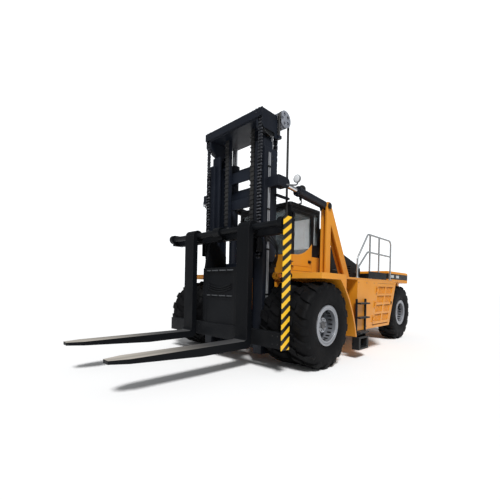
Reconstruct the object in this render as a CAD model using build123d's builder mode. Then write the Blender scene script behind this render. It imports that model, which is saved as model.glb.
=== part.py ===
from build123d import *
import math
import os

# Heavy counterbalance forklift: +X to the fork tips, +Y to the driver's left, +Z up, on the ground.
# Places along X are given from the front axle; axle_x moves them into the part's frame.

# Overall sizes
fork_reach = 3580
wheel_base = 5100
rear_overhang = 1450
tail_reach = wheel_base + rear_overhang
axle_x = (tail_reach - fork_reach) / 2
rear_x = axle_x - wheel_base

# Tyres and rims
tyre_d = 1640
tyre_w = 500
axle_z = tyre_d / 2
bead_r = 330
flange_r = 381
lip_r = 385
bulge_r = 600
bead_y = 190
tread_y = 208
lug_depth = 40
lug_count = 17
lug_inset = 14
rim_w = 430
rim_wall = 36
dish = 40
disc_t = 30
hub_r = 165
hub_l = 150
hub_flare = 40
hub_draft = 25
hub_cap = 40
stud_count = 10
stud_hole_r = 22
stud_ring_r = hub_r + 82
spindle_r = 90
spindle_fit = 0.4
dual_outer_y = 1790
dual_pitch = 560
dual_inner_y = dual_outer_y - dual_pitch
rear_tyre_y = 1380
kingpin_y = 1030
kingpin_r = 55

# Frame and body
rail_y0 = 300
rail_y1 = 420
rail_z0 = 1040
rail_z1 = 1640
rail_end = tail_reach - 370
deck_z = 1760
deck_t = 40
side_y = 1950
pod_y0 = 800
pod_z0 = 600
fender_y = 2040
fender_y0 = 950
fender_z = 1800
fender_t = 110
hood_x0 = 980 - wheel_base
hood_x1 = -2250
hood_y = 720
hinge_z = 2100
deck_end = 850 - wheel_base
cw_x1 = 800 - wheel_base

# Mast
pivot_x = 300
pivot_z = 420
pivot_r = 50
mast_y = 885
mast_x0 = 220
mast_x1 = 600
mast_z0 = 180
outer_top = 4300
web_t = 50
flange_t = 60
flange_y = 660
nest_gap = 8
inner_y = 805
inner_web_t = 40
inner_flange_t = 45
inner_flange_y = 560
inner_z0 = 360
inner_top = 4500
beam_z0 = 4870
beam_z1 = 5030
shelf_z = 4840
shelf_t = 40
lift_x = 60
lift_y = 560
lift_r = 100
gland_r = 118
lift_rod_r = 60
rod_fit = 0.5
lift_z0 = 1150
gland_z = 4200
gland_l = 180
lift_tail_z = 2250
chain_x = 655
chain_back_x = 190
chain_y = 805
chain_t = 50
chain_w = 90
chain_z0 = 2100
chain_back_z0 = 2480
sheave_z = 4775

# Carriage and forks
carriage_y = 1720
lower_beam_x0 = 880
lower_beam_x1 = 1000
lower_beam_z0 = 450
lower_beam_z1 = 730
upper_beam_x0 = 740
upper_beam_x1 = 860
upper_beam_z0 = 2470
upper_beam_z1 = 2720
shaft_x = 1000
shaft_z = 2620
shaft_r = 60
shaft_fit = 0.5
fork_y = 850
fork_w = 310
shank_x0 = 1010
shank_t = 120
fork_z = 380
heel_t = 140
tip_t = 50
fork_taper = 1000

# Tilt cylinders
tilt_y = 1080
tilt_mast_x = 250
tilt_mast_z = 3600
apex_x = -1420
apex_z = 3470
tilt_pin_r = 45
tilt_barrel_r = 95
tilt_rod_r = 50
tilt_eye_r = 100
tilt_eye_w = 60
rod_eye_w = 116
tilt_barrel_start = 140
tilt_neck_start = 60
tilt_neck_r = 30
tilt_base_t = 20
tilt_gland_l = 70
tilt_gland_r = 107
barrel_eye_r = 90
tilt_barrel_end = 1190
tilt_rod_tail = 520

# Cab
cab_x0 = -1600
cab_x1 = -400
cab_y = 800
cab_z0 = 1800
cab_z1 = 3360
cab_wall = 50
roof_t = 80

os.makedirs("parts", exist_ok=True)
SIDES = (("left", 1), ("right", -1))


def side_plane(y):
    """A drawing plane seen from the right: local x along X from the front axle, local y up."""
    return Plane(origin=(axle_x, y, 0), x_dir=(1, 0, 0), z_dir=(0, -1, 0))


def top_plane(z):
    """A drawing plane seen from above, with its origin over the front axle."""
    return Plane(origin=(axle_x, 0, z))


def block(x0, x1, y0, y1, z0, z1, mode=Mode.ADD):
    """Adds a box given by its limits, with x from the front axle."""
    with Locations((axle_x + (x0 + x1) / 2, (y0 + y1) / 2, (z0 + z1) / 2)):
        Box(abs(x1 - x0), abs(y1 - y0), abs(z1 - z0), mode=mode)


def rod_y(x, z, y0, y1, r, mode=Mode.ADD):
    """Adds a round bar along Y between two places."""
    with Locations((axle_x + x, (y0 + y1) / 2, z)):
        Cylinder(r, abs(y1 - y0), rotation=(90, 0, 0), mode=mode)


def rod_z(x, y, z0, z1, r, mode=Mode.ADD):
    """Adds an upright round bar between two heights."""
    with Locations((axle_x + x, y, (z0 + z1) / 2)):
        Cylinder(r, z1 - z0, mode=mode)


def plate(points, y0, y1, mode=Mode.ADD):
    """Adds a plate whose side outline is a closed run of points."""
    with BuildSketch(side_plane((y0 + y1) / 2)) as outline:
        with BuildLine():
            Polyline(*points, close=True)
        make_face()
    extrude(outline.sketch, amount=abs(y1 - y0) / 2, both=True, mode=mode)


def finish(builder, name):
    builder.part.label = name
    export_step(builder.part, f"parts/{name}.step")


# One tyre about the Y axis, in flat facets: a bulged casing with two staggered rows of block lugs.
crown_r = tyre_d / 2
tread_r = crown_r - lug_depth
half_w = tyre_w / 2
facets = 2 * lug_count
pitch = math.radians(360 / facets)
flat = math.cos(pitch / 2)
wedge_w = crown_r * math.tan(pitch / 2)
lug_foot_r = tread_r - lug_depth / 4
lug_face = ((lug_foot_r, 0), (crown_r, 0), (crown_r * math.cos(pitch), crown_r * math.sin(pitch)),
            (lug_foot_r * math.cos(pitch), lug_foot_r * math.sin(pitch)))


def wheel_plane(y):
    """A drawing plane square to the wheel's axis, facing +Y, with local x down."""
    return Plane(origin=(0, y, 0), x_dir=(0, 0, -1), z_dir=(0, 1, 0))


with BuildPart() as casing_facet:
    with BuildSketch(Plane.YZ):
        with BuildLine():
            half_section = Polyline((0, bead_r), (bead_y, bead_r), (bead_y, lip_r * flat),
                                    (half_w, bulge_r * flat),
                                    (tread_y, tread_r * flat), (0, tread_r * flat))
            mirror(half_section, Plane.YZ)
        make_face()
    extrude(amount=wedge_w, both=True)
    with BuildSketch(Plane.XZ):
        Polygon((0, 0), (wedge_w, crown_r), (-wedge_w, crown_r), align=None)
    extrude(amount=tyre_w, both=True, mode=Mode.INTERSECT)

with BuildPart() as tyre:
    add([casing_facet.part.rotate(Axis.Y, (step + 0.5) * 360 / facets) for step in range(facets)])
    for row, start in ((1, 0), (-1, 360 / facets)):
        with BuildSketch(wheel_plane(row * lug_inset)):
            with PolarLocations(0, lug_count, start_angle=start):
                Polygon(*lug_face, align=None)
        extrude(amount=row * (tread_y - lug_inset))

# One rim about the Y axis, open to +Y: flanged barrel, dished disc with hand holes, hub.
with BuildPart() as rim_barrel:
    with BuildSketch(Plane.YZ):
        with BuildLine():
            Polyline(
                (-rim_w / 2, flange_r),
                (-rim_w / 2, bead_r - rim_wall),
                (rim_w / 2, bead_r - rim_wall),
                (rim_w / 2, flange_r),
                (bead_y, flange_r),
                (bead_y, bead_r),
                (-bead_y, bead_r),
                (-bead_y, flange_r),
                close=True,
            )
        make_face()
    revolve(axis=Axis.Y)

with BuildPart() as rim:
    add(rim_barrel.part)
    with BuildSketch(Plane.YZ):
        with BuildLine():
            Polyline(
                (-dish - disc_t, 0),
                (-dish - disc_t, bead_r - rim_wall),
                (-dish, bead_r - rim_wall),
                (-dish, hub_r + hub_flare),
                (-dish + hub_flare, hub_r),
                (-dish + hub_l, hub_r - hub_draft),
                (-dish + hub_l, 0),
                close=True,
            )
        make_face()
    revolve(axis=Axis.Y)
    with Locations((0, -dish - disc_t, 0)):
        Cylinder(
            spindle_r + spindle_fit,
            hub_l + disc_t - hub_cap,
            rotation=(-90, 0, 0),
            align=(Align.CENTER, Align.CENTER, Align.MIN),
            mode=Mode.SUBTRACT,
        )
    with BuildSketch(Plane.XZ.offset(dish + disc_t + 1)):
        with PolarLocations(stud_ring_r, stud_count):
            Circle(stud_hole_r)
    extrude(amount=-disc_t - 2, mode=Mode.SUBTRACT)

for side, s in SIDES:
    turn = 0 if s > 0 else 180
    with BuildPart() as front_tyres:
        for y in (dual_outer_y, dual_inner_y):
            with Locations(Location((axle_x, s * y, axle_z), (0, 0, turn))):
                add(tyre.part)
    finish(front_tyres, f"front_tyres_{side}")
    with BuildPart() as front_rims:
        with Locations(Location((axle_x, s * dual_outer_y, axle_z), (0, 0, turn))):
            add(rim.part)
        with Locations(Location((axle_x, s * dual_inner_y, axle_z), (0, 0, turn))):
            add(rim_barrel.part)
        with Locations((axle_x, s * (dual_outer_y - dual_pitch / 2), axle_z)):
            Cylinder(bead_r, dual_pitch - rim_w, rotation=(90, 0, 0))
            Cylinder(bead_r - rim_wall, dual_pitch - rim_w, rotation=(90, 0, 0), mode=Mode.SUBTRACT)
    finish(front_rims, f"front_rims_{side}")
    with BuildPart() as rear_tyre:
        with Locations(Location((rear_x, s * rear_tyre_y, axle_z), (0, 0, turn))):
            add(tyre.part)
    finish(rear_tyre, f"rear_tyre_{side}")
    with BuildPart() as rear_rim:
        with Locations(Location((rear_x, s * rear_tyre_y, axle_z), (0, 0, turn))):
            add(rim.part)
    finish(rear_rim, f"rear_rim_{side}")

# Axles: the drive axle runs right through; the steer axle ends in yokes that hold the knuckles.
bore_end = hub_l - dish - hub_cap
hub_clear = 12
end_clear = 0.5
axle_tube_r = 150
axle_tube_y = 1000
axle_arm_r = 130
axle_pad = 150
diff_r = 205
with BuildPart() as front_axle:
    for r, reach in ((axle_tube_r, axle_tube_y), (axle_arm_r, dual_outer_y - dish - disc_t - hub_clear),
                     (spindle_r, dual_outer_y + bore_end - end_clear)):
        rod_y(0, axle_z, -reach, reach, r)
    with Locations((axle_x, 0, axle_z)):
        Sphere(diff_r)
    for _, s in SIDES:
        block(-axle_pad, axle_pad, s * rail_y0, s * rail_y1, axle_z, rail_z0)
finish(front_axle, "front_axle")

beam_half_x = 110
beam_half_z = 100
yoke_in = 205
yoke_t = 55
yoke_w = 90
yoke_throat = 120
yoke_root = 240
knuckle_gap = 3
cradle_x = 200
cradle_drop = 60
cradle_seat = 20
steer_ram_x = 160
steer_ram_y = 700
steer_ram_r = 75
with BuildPart() as rear_axle:
    block(-wheel_base - beam_half_x, -wheel_base + beam_half_x, -kingpin_y + yoke_throat,
          kingpin_y - yoke_throat,
          axle_z - beam_half_z, axle_z + beam_half_z)
    for _, s in SIDES:
        for z0 in (axle_z - yoke_in, axle_z + yoke_in - yoke_t):
            block(-wheel_base - yoke_w, -wheel_base + yoke_w, s * (kingpin_y - yoke_root), s * kingpin_y, z0,
                  z0 + yoke_t)
            rod_z(-wheel_base, s * kingpin_y, z0, z0 + yoke_t, yoke_w)
        block(-wheel_base - yoke_w, -wheel_base + yoke_w, s * (kingpin_y - yoke_root),
              s * (kingpin_y - yoke_throat),
              axle_z - yoke_in, axle_z + yoke_in)
        rod_z(-wheel_base, s * kingpin_y, axle_z - yoke_in, axle_z + yoke_in, kingpin_r, mode=Mode.SUBTRACT)
    block(-wheel_base - cradle_x, -wheel_base + cradle_x, -rail_y0, rail_y0, axle_z + cradle_drop,
          rail_z0 + cradle_seat)
    rod_y(-wheel_base - steer_ram_x, axle_z, -steer_ram_y, steer_ram_y, steer_ram_r)
finish(rear_axle, "rear_axle")

knuckle_body_r = 105
knuckle_arm_r = 125
kingpin_over = 20
kingpin_fit = 0.4
for side, s in SIDES:
    with BuildPart() as knuckle:
        reach_in = axle_z - yoke_in + yoke_t + knuckle_gap
        rod_z(-wheel_base, s * kingpin_y, reach_in, 2 * axle_z - reach_in, knuckle_body_r)
        rod_z(-wheel_base, s * kingpin_y, axle_z - yoke_in - kingpin_over, axle_z + yoke_in + kingpin_over,
              kingpin_r - kingpin_fit)
        rod_y(-wheel_base, axle_z, s * kingpin_y, s * (rear_tyre_y - dish - disc_t - hub_clear),
              knuckle_arm_r)
        rod_y(-wheel_base, axle_z, s * kingpin_y, s * (rear_tyre_y + bore_end - end_clear), spindle_r)
    finish(knuckle, f"steer_knuckle_{side}")

# Main frame: two deep rails, cross members, and the ears and pins that carry the mast.
ear_y0 = 335
ear_y1 = 400
ear_r = 90
pin_end_y = 480
pin_over = 10
cross_half_x = 80
cross_inset = 60
rail_line = ((-100, rail_z0), (-100, 1400), (-320, rail_z1), (-rail_end, rail_z1), (-rail_end, rail_z0))
ear_line = ((-200, 1300), (60, 1300), (260, 1040), (340, 700), (360, pivot_z + 60), (360, pivot_z - 60),
            (230, pivot_z - 60), (212, 500), (212, 900), (150, 1040), (-200, 1040))
cross_places = (-700, -2000, 900 - wheel_base, 180 - rail_end)
cradle_half_x = 260
cradle_z0 = rail_z0 + cradle_seat
cradle_z1 = rail_z0 + 140
with BuildPart() as chassis_frame:
    for _, s in SIDES:
        plate(rail_line, s * rail_y0, s * rail_y1)
        plate(ear_line, s * ear_y0, s * ear_y1)
        rod_y(pivot_x, pivot_z, s * ear_y0, s * ear_y1, ear_r)
        rod_y(pivot_x, pivot_z, s * (ear_y0 - pin_over), s * pin_end_y, pivot_r)
    for x in cross_places:
        block(x - cross_half_x, x + cross_half_x, -rail_y0, rail_y0, rail_z0 + cross_inset,
              rail_z1 - cross_inset)
    block(-wheel_base - cradle_half_x, -wheel_base + cradle_half_x, -rail_y0, rail_y0, cradle_z0, cradle_z1)
finish(chassis_frame, "chassis_frame")

engine_z0 = 1190
engine_z1 = 2000
with BuildPart() as engine_block:
    block(hood_x0 + 420, hood_x1 - 50, -rail_y0, rail_y0, engine_z0, engine_z1)
finish(engine_block, "engine_block")

# Deck: one plate on bearers over the rails, open over the engine.
cab_deck_end = -360
fender_back = -640
opening_lip_x = 40
opening_lip_y = 60
bearer_half_x = 50
bearer_places = (-500, -1400, hood_x1 + 100, deck_end + 50)
with BuildPart() as deck:
    block(deck_end, fender_back, -side_y, side_y, deck_z - deck_t, deck_z)
    block(fender_back, cab_deck_end, -fender_y0, fender_y0, deck_z - deck_t, deck_z)
    block(hood_x0 + opening_lip_x, hood_x1 - opening_lip_x, -hood_y + opening_lip_y, hood_y - opening_lip_y,
          deck_z - deck_t, deck_z, mode=Mode.SUBTRACT)
    for _, s in SIDES:
        for x in bearer_places:
            block(x - bearer_half_x, x + bearer_half_x, s * rail_y0, s * rail_y1, rail_z1, deck_z - deck_t)
finish(deck, "deck")

# Toe boards along the walkways, and the posts and pins that the hood hangs on.
toe_x0 = 2140 - wheel_base
toe_x1 = -1900
toe_t = 12
toe_h = 170
with BuildPart() as toe_boards:
    for _, s in SIDES:
        block(toe_x0, toe_x1, s * (side_y - toe_t), s * side_y, deck_z, deck_z + toe_h)
finish(toe_boards, "toe_boards")

hinge_x = hood_x0 - 45
hinge_y0 = 420
hinge_y1 = 540
hinge_pin_r = 12
post_half = 12
post_depth = 25
post_gap = 8
with BuildPart() as hood_posts:
    for _, s in SIDES:
        for y in (hinge_y0 - post_gap - post_half, hinge_y1 + post_gap + post_half):
            block(hinge_x - post_depth, hinge_x + post_depth, s * y - post_half, s * y + post_half, deck_z,
                  hinge_z + 20)
        rod_y(hinge_x, hinge_z, s * (hinge_y0 - post_gap - 2 * post_half),
              s * (hinge_y1 + post_gap + 2 * post_half),
              hinge_pin_r)
finish(hood_posts, "hood_posts")

# Engine hood: a folded cover that lifts about its rear edge, with louvres in its sides.
hood_gap = 6
hood_wall = 20
hood_fold_r = 60
hood_peak = 2650
eye_r = 26
eye_half_z = 16
eye_root = 10
eye_fit = 0.3
louvre_x = (hood_x0 + hood_x1) / 2
louvre_half_l = 300
louvre_z0 = 1880
louvre_pitch = 70
louvre_h = 30
louvre_count = 5
hood_line = ((hood_x0, deck_z + hood_gap), (hood_x1, deck_z + hood_gap), (hood_x1, hood_peak - 110),
             (hood_x1 - 170, hood_peak), (hood_x0 + 120, 2230), (hood_x0, 2130))
with BuildPart() as engine_hood:
    plate(hood_line, -hood_y, hood_y)
    fillet(engine_hood.edges().filter_by(Axis.Y).group_by(Axis.Z)[-1], hood_fold_r)
    bottom = engine_hood.faces().sort_by(Axis.Z)[0]
    offset(amount=-hood_wall, openings=bottom)
    for _, s in SIDES:
        block(hinge_x, hood_x0 + eye_root, s * hinge_y0, s * hinge_y1, hinge_z - eye_half_z,
              hinge_z + eye_half_z)
        rod_y(hinge_x, hinge_z, s * hinge_y0, s * hinge_y1, eye_r)
        rod_y(hinge_x, hinge_z, s * (hinge_y0 - 1), s * (hinge_y1 + 1), hinge_pin_r + eye_fit,
              mode=Mode.SUBTRACT)
        for row in range(louvre_count):
            z0 = louvre_z0 + row * louvre_pitch
            block(louvre_x - louvre_half_l, louvre_x + louvre_half_l, s * (hood_y - 2 * hood_wall),
                  s * (hood_y + 1),
                  z0, z0 + louvre_h, mode=Mode.SUBTRACT)
finish(engine_hood, "engine_hood")

# Counterweight: a rounded slab over the steered wheels and a deep tail block with a tow jaw.
cw_y = 1500
cw_z0 = 1740
cw_z1 = 2080
cw_corner = 620
cw_edge_r = 45
tail_x1 = -rail_end
tail_y = 1120
tail_z0 = 640
tail_corner = 240
seat_sink = 20
rail_pad_x0 = cw_x1 - 1100
rail_pad_x1 = cw_x1 - 100
bridge_x1 = tail_x1 + 680
tow_r = 32
tow_y = 130
tow_depth = 170
tow_jaws = ((840, 960), (1060, 1260))
lift_hole_x = cw_x1 - 700
lift_hole_y = 900
lift_hole_l = 150
with BuildPart() as counterweight:
    with BuildSketch(top_plane(cw_z0)):
        with BuildLine():
            Polyline((-tail_reach, cw_y - cw_corner), (-tail_reach, -cw_y + cw_corner))
            RadiusArc((-tail_reach, -cw_y + cw_corner), (-tail_reach + cw_corner, -cw_y), -cw_corner)
            Polyline((-tail_reach + cw_corner, -cw_y), (cw_x1, -cw_y), (cw_x1, cw_y),
                     (-tail_reach + cw_corner, cw_y))
            RadiusArc((-tail_reach + cw_corner, cw_y), (-tail_reach, cw_y - cw_corner), -cw_corner)
        make_face()
    extrude(amount=cw_z1 - cw_z0)
    fillet(counterweight.edges().group_by(Axis.Z)[-1].filter_by(Plane.XY), cw_edge_r)
    with BuildSketch(top_plane(tail_z0)):
        with BuildLine():
            Polyline((-tail_reach, tail_y - tail_corner), (-tail_reach, -tail_y + tail_corner))
            RadiusArc((-tail_reach, -tail_y + tail_corner), (-tail_reach + tail_corner, -tail_y),
                      -tail_corner)
            Polyline((-tail_reach + tail_corner, -tail_y), (tail_x1, -tail_y), (tail_x1, tail_y),
                     (-tail_reach + tail_corner, tail_y))
            RadiusArc((-tail_reach + tail_corner, tail_y), (-tail_reach, tail_y - tail_corner), -tail_corner)
        make_face()
    extrude(amount=cw_z0 - tail_z0 + seat_sink)
    block(tail_x1, bridge_x1, -rail_y0, rail_y0, rail_z1 - 2 * seat_sink, cw_z0 + seat_sink)
    for _, s in SIDES:
        block(rail_pad_x0, rail_pad_x1, s * rail_y0, s * rail_y1, rail_z1, cw_z0 + seat_sink)
        rod_z(lift_hole_x, s * lift_hole_y, cw_z1 - lift_hole_l, cw_z1 + 1, tow_r, mode=Mode.SUBTRACT)
    for z0, z1 in tow_jaws:
        block(-tail_reach - 1, -tail_reach + tow_depth, -tow_y, tow_y, z0, z1, mode=Mode.SUBTRACT)
    rod_z(-tail_reach + tow_depth / 2, 0, tail_z0 - 1, tow_jaws[1][0] + 1, tow_r, mode=Mode.SUBTRACT)
finish(counterweight, "counterweight")

# Side pods: closed boxes under the walkways, leaning back to the rear wheel arch, with a door recess.
pod_front = -1330
pod_top = deck_z - deck_t
pod_top_end = 1440 - wheel_base
pod_bottom_end = 1900 - wheel_base
seam_top = pod_front + 0.48 * (pod_top_end - pod_front)
seam_bottom = pod_front + 0.42 * (pod_bottom_end - pod_front)
seam_slope = (seam_bottom - seam_top) / (pod_top - pod_z0)
arch_slope = (pod_bottom_end - pod_top_end) / (pod_top - pod_z0)
arch_frame = 90
recess_lip = 60
recess_depth = 420
door_t = 45
door_gap = 6
door_low_gap = 24
door_z0 = pod_z0 + 60
door_z1 = pod_top - 50
pin_r = 8
pin_fit = 0.3
pin_side = 14
pin_y = side_y + 18
barrel_r = 12
knuckle_l = 80
leaf_h = 30
leaf_w = 50
hinge_heights = (820, 1160, 1500)
pod_line = ((pod_front, pod_z0), (pod_front, pod_top), (pod_top_end, pod_top), (pod_bottom_end, pod_z0))


def seam_at(z, inset=0):
    """X on the slanted seam at a height, moved back by inset."""
    return seam_bottom - (z - pod_z0) * seam_slope - inset


def arch_at(z, inset=0):
    """X on the pod's slanted rear end at a height, moved forward by inset."""
    return pod_bottom_end - (z - pod_z0) * arch_slope + inset


def across(z, share):
    """X at a share of the way from the seam to the rear end's frame."""
    return seam_at(z) + (arch_at(z, arch_frame) - seam_at(z)) * share


def slanted(z0, z1, front, back):
    """A four-cornered outline between two heights, with front and back given as functions of the height."""
    return (front(z0), z0), (front(z1), z1), (back(z1), z1), (back(z0), z0)


def seam_bar(z, y, start, length, r, mode=Mode.ADD):
    """Adds a round bar along the slanted seam, from start to start + length past the height z."""
    seam = Plane(origin=(axle_x + seam_at(z) + pin_side, y, z), x_dir=(0, 1, 0), z_dir=(-seam_slope, 0, 1))
    with BuildSketch(seam.offset(start)) as ring:
        Circle(r)
    extrude(ring.sketch, amount=length, mode=mode)


with BuildPart() as side_pods:
    recess = slanted(door_z0, door_z1, seam_at, lambda z: arch_at(z, arch_frame))
    inner = slanted(door_z0 + recess_lip, door_z1 - recess_lip, lambda z: seam_at(z, recess_lip),
                    lambda z: arch_at(z, arch_frame + recess_lip))
    for _, s in SIDES:
        plate(pod_line, s * pod_y0, s * side_y)
        plate(recess, s * (side_y - door_t - door_gap), s * (side_y + 1), mode=Mode.SUBTRACT)
        plate(inner, s * (side_y - recess_depth), s * side_y, mode=Mode.SUBTRACT)
        for z in hinge_heights:
            seam_bar(z, s * pin_y, -knuckle_l, 2 * knuckle_l, pin_r)
            for z0 in (z - knuckle_l, z + knuckle_l - leaf_h):
                leaf = slanted(z0, z0 + leaf_h, seam_at, lambda z: seam_at(z, -leaf_w))
                plate(leaf, s * (side_y - 2), s * (pin_y + 10))
finish(side_pods, "side_pods")

# Grille doors: a frame of bars that leans with the seam, hung on pins in the pod's recess.
rows = 4
columns = ((0.07, 0.47), (0.53, 0.93))
bar_shares = (0.2, 0.4, 0.6, 0.8)
bar_half = 9
bar_inset = 12
bar_root = 3
row_bar = 50
row_h = (door_z1 - door_z0 - 2 * recess_lip) / rows
with BuildPart() as grille_left:
    outline = slanted(door_z0 + door_low_gap, door_z1 - door_gap, lambda z: seam_at(z, door_gap),
                      lambda z: arch_at(z, arch_frame + door_gap))
    plate(outline, side_y - door_t, side_y)
    for row in range(rows):
        z0 = door_z0 + recess_lip + row * row_h + row_bar / 2
        z1 = z0 + row_h - row_bar
        for a, b in columns:
            window = slanted(z0, z1, lambda z: across(z, a), lambda z: across(z, b))
            plate(window, side_y - door_t - 1, side_y + 1, mode=Mode.SUBTRACT)
            for bar in bar_shares:
                share = a + (b - a) * bar
                bar_line = slanted(z0 - bar_root, z1 + bar_root, lambda z: across(z, share) + bar_half,
                                   lambda z: across(z, share) - bar_half)
                plate(bar_line, side_y - door_t + bar_inset, side_y - bar_inset)
    for z in hinge_heights:
        z0 = z - knuckle_l / 2
        z1 = z + knuckle_l / 2
        plate(slanted(z0, z1, lambda h: seam_at(h, 30), lambda h: seam_at(h, -pin_side)), side_y + 4, pin_y)
        plate(slanted(z0, z1, lambda h: seam_at(h, 45), lambda h: seam_at(h, 12)), side_y - 4, pin_y)
        seam_bar(z, pin_y, 36 - knuckle_l, 2 * knuckle_l - 72, barrel_r)
        seam_bar(z, pin_y, -knuckle_l, 2 * knuckle_l, pin_r + pin_fit, mode=Mode.SUBTRACT)
for side, s in SIDES:
    with BuildPart() as grille_door:
        add(grille_left.part if s > 0 else mirror(grille_left.part, Plane.XZ))
    finish(grille_door, f"grille_door_{side}")

# Front fenders: the deck over the twin wheels, a nose beam with a lifting eye, and the swept rear guard.
nose_x = 300
fender_low = fender_z - fender_t
guard_foot = 500
guard_inner = ((-400, fender_low), (-880, 1080), (-1110, guard_foot))
guard_outer = ((-1150, guard_foot), (-920, 1095), (fender_back, 1500))
tray_inset = 60
tray_depth = 14
eye_w = 60
lift_eye_r = 75
lift_eye_bore = 32
with BuildPart() as front_fenders:
    for _, s in SIDES:
        with BuildSketch(side_plane(s * (fender_y0 + fender_y) / 2)):
            with BuildLine():
                Polyline(guard_outer[2], (fender_back, fender_z), (nose_x, fender_z), (nose_x, fender_low),
                         guard_inner[0])
                ThreePointArc(*guard_inner)
                Line(guard_inner[2], guard_outer[0])
                ThreePointArc(*guard_outer)
            make_face()
        extrude(amount=(fender_y - fender_y0) / 2, both=True)
        block(fender_back + tray_inset, nose_x - tray_inset, s * (fender_y0 + tray_inset),
              s * (fender_y - tray_inset),
              fender_z - tray_depth, fender_z + 1, mode=Mode.SUBTRACT)
        eye_z = (fender_z + fender_low) / 2
        rod_y(nose_x, eye_z, s * fender_y0, s * (fender_y0 + eye_w), lift_eye_r)
        rod_y(nose_x, eye_z, s * (fender_y0 - 1), s * (fender_y0 + eye_w + 1), lift_eye_bore,
              mode=Mode.SUBTRACT)
finish(front_fenders, "front_fenders")

# Frames for the tilt cylinders: twin plates in an A, with the cylinder's eye between them at the apex.
post_x0 = apex_x - 100
post_x1 = apex_x + 100
strut_base = -2560
strut_w = 260
window_top = apex_z - 420
frame_gap = 80
frame_t = 40
spacer_half = 25
apex_pin_over = 15
frame_line = ((post_x1, deck_z), (post_x1, apex_z), (apex_x + 60, apex_z + 90), (apex_x - 60, apex_z + 95),
              (post_x0 - 20, apex_z), (strut_base, deck_z))
window_line = ((post_x0, deck_z), (post_x0, window_top), (strut_base + strut_w, deck_z))
spacers = ((post_x0 + 80, post_x0 + 80), (strut_base + strut_w / 2, post_x0 - 135))
with BuildPart() as a_frames:
    for _, s in SIDES:
        inner_y0 = tilt_y - frame_gap / 2
        inner_y1 = tilt_y + frame_gap / 2
        for y in (inner_y0 - frame_t, inner_y1):
            plate(frame_line, s * y, s * (y + frame_t))
            plate(window_line, s * y, s * (y + frame_t), mode=Mode.SUBTRACT)
        for foot, head in spacers:
            plate(((foot - spacer_half, deck_z), (foot + spacer_half, deck_z),
                   (head + spacer_half, window_top),
                   (head - spacer_half, window_top)), s * inner_y0, s * inner_y1)
        rod_y(apex_x, apex_z, s * (inner_y0 - frame_t - apex_pin_over),
              s * (inner_y1 + frame_t + apex_pin_over), tilt_pin_r)
finish(a_frames, "a_frames")

# Cab: floor tub with pillars, roof, glass and two doors, each panel as thick as its wall.
door_x0 = -1280
door_x1 = -470
door_sill = 1900
door_head = 3290
floor_t = 60
front_sill = 2280
front_pillar = 90
rear_sill = 2500
rear_pillar = 110
side_sill = 2560
side_x0 = cab_x0 + 90
side_x1 = door_x0 - 60
header = 80
pane_t = 10
pane_inset = 20
foot_half = 60
foot_y = cab_y - 180
with BuildPart() as cab_frame:
    block(cab_x0, cab_x1, -cab_y, cab_y, cab_z0, cab_z1)
    block(cab_x0 + cab_wall, cab_x1 - cab_wall, -cab_y + cab_wall, cab_y - cab_wall, cab_z0 + floor_t,
          cab_z1 + 1,
          mode=Mode.SUBTRACT)
    block(cab_x1 - cab_wall - 1, cab_x1 + 1, -cab_y + front_pillar, cab_y - front_pillar, front_sill,
          cab_z1 - header,
          mode=Mode.SUBTRACT)
    block(cab_x0 - 1, cab_x0 + cab_wall + 1, -cab_y + rear_pillar, cab_y - rear_pillar, rear_sill,
          cab_z1 - header,
          mode=Mode.SUBTRACT)
    for _, s in SIDES:
        wall = (s * (cab_y - cab_wall - 1), s * (cab_y + 1))
        block(door_x0, door_x1, *wall, door_sill, door_head, mode=Mode.SUBTRACT)
        block(side_x0, side_x1, *wall, side_sill, door_head, mode=Mode.SUBTRACT)
        for x in (cab_x0 + 2 * foot_half, cab_x1 - 2 * foot_half):
            block(x - foot_half, x + foot_half, s * (foot_y - foot_half), s * (foot_y + foot_half), deck_z,
                  cab_z0)
finish(cab_frame, "cab_frame")

roof_rear = 30
roof_front = 20
roof_over = 15
roof_corner_r = 70
roof_edge_r = 30
with BuildPart() as cab_roof:
    block(cab_x0 - roof_rear, cab_x1 + roof_front, -cab_y - roof_over, cab_y + roof_over, cab_z1,
          cab_z1 + roof_t)
    fillet(cab_roof.edges().filter_by(Axis.Z), roof_corner_r)
    fillet(cab_roof.edges().group_by(Axis.Z)[-1], roof_edge_r)
finish(cab_roof, "cab_roof")

with BuildPart() as cab_glass:
    front_pane = cab_x1 - pane_inset - pane_t
    rear_pane = cab_x0 + pane_inset
    block(front_pane, front_pane + pane_t, -cab_y + front_pillar, cab_y - front_pillar, front_sill,
          cab_z1 - header)
    block(rear_pane, rear_pane + pane_t, -cab_y + rear_pillar, cab_y - rear_pillar, rear_sill,
          cab_z1 - header)
    for _, s in SIDES:
        block(side_x0, side_x1, s * (cab_y - pane_inset - pane_t), s * (cab_y - pane_inset), side_sill,
              door_head)
finish(cab_glass, "cab_glass")

# Doors hang on pins at the front pillar; the window's lower edge is curved.
leaf_gap = 6
win_x0 = door_x0 + 70
win_x1 = door_x1 - 80
win_top = door_head - 80
win_low_front = 2250
win_low_mid = 2270
win_low_rear = 2420
leaf_t = 48
door_pin_x = door_x1 + 12
door_pin_y = cab_y + 22
door_pin_r = 10
door_eye_r = 22
door_eye_half = 40
door_hinges = (2050, 2700, 3150)
cap_h = 20
cap_gap = 2


def window_outline(y):
    """A sketch of the door's window on an upright plane."""
    with BuildSketch(side_plane(y)) as outline:
        with BuildLine():
            Polyline((win_x0, win_low_rear), (win_x0, win_top), (win_x1, win_top), (win_x1, win_low_front))
            ThreePointArc((win_x1, win_low_front), ((win_x0 + win_x1) / 2, win_low_mid),
                          (win_x0, win_low_rear))
        make_face()
    return outline.sketch


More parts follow.
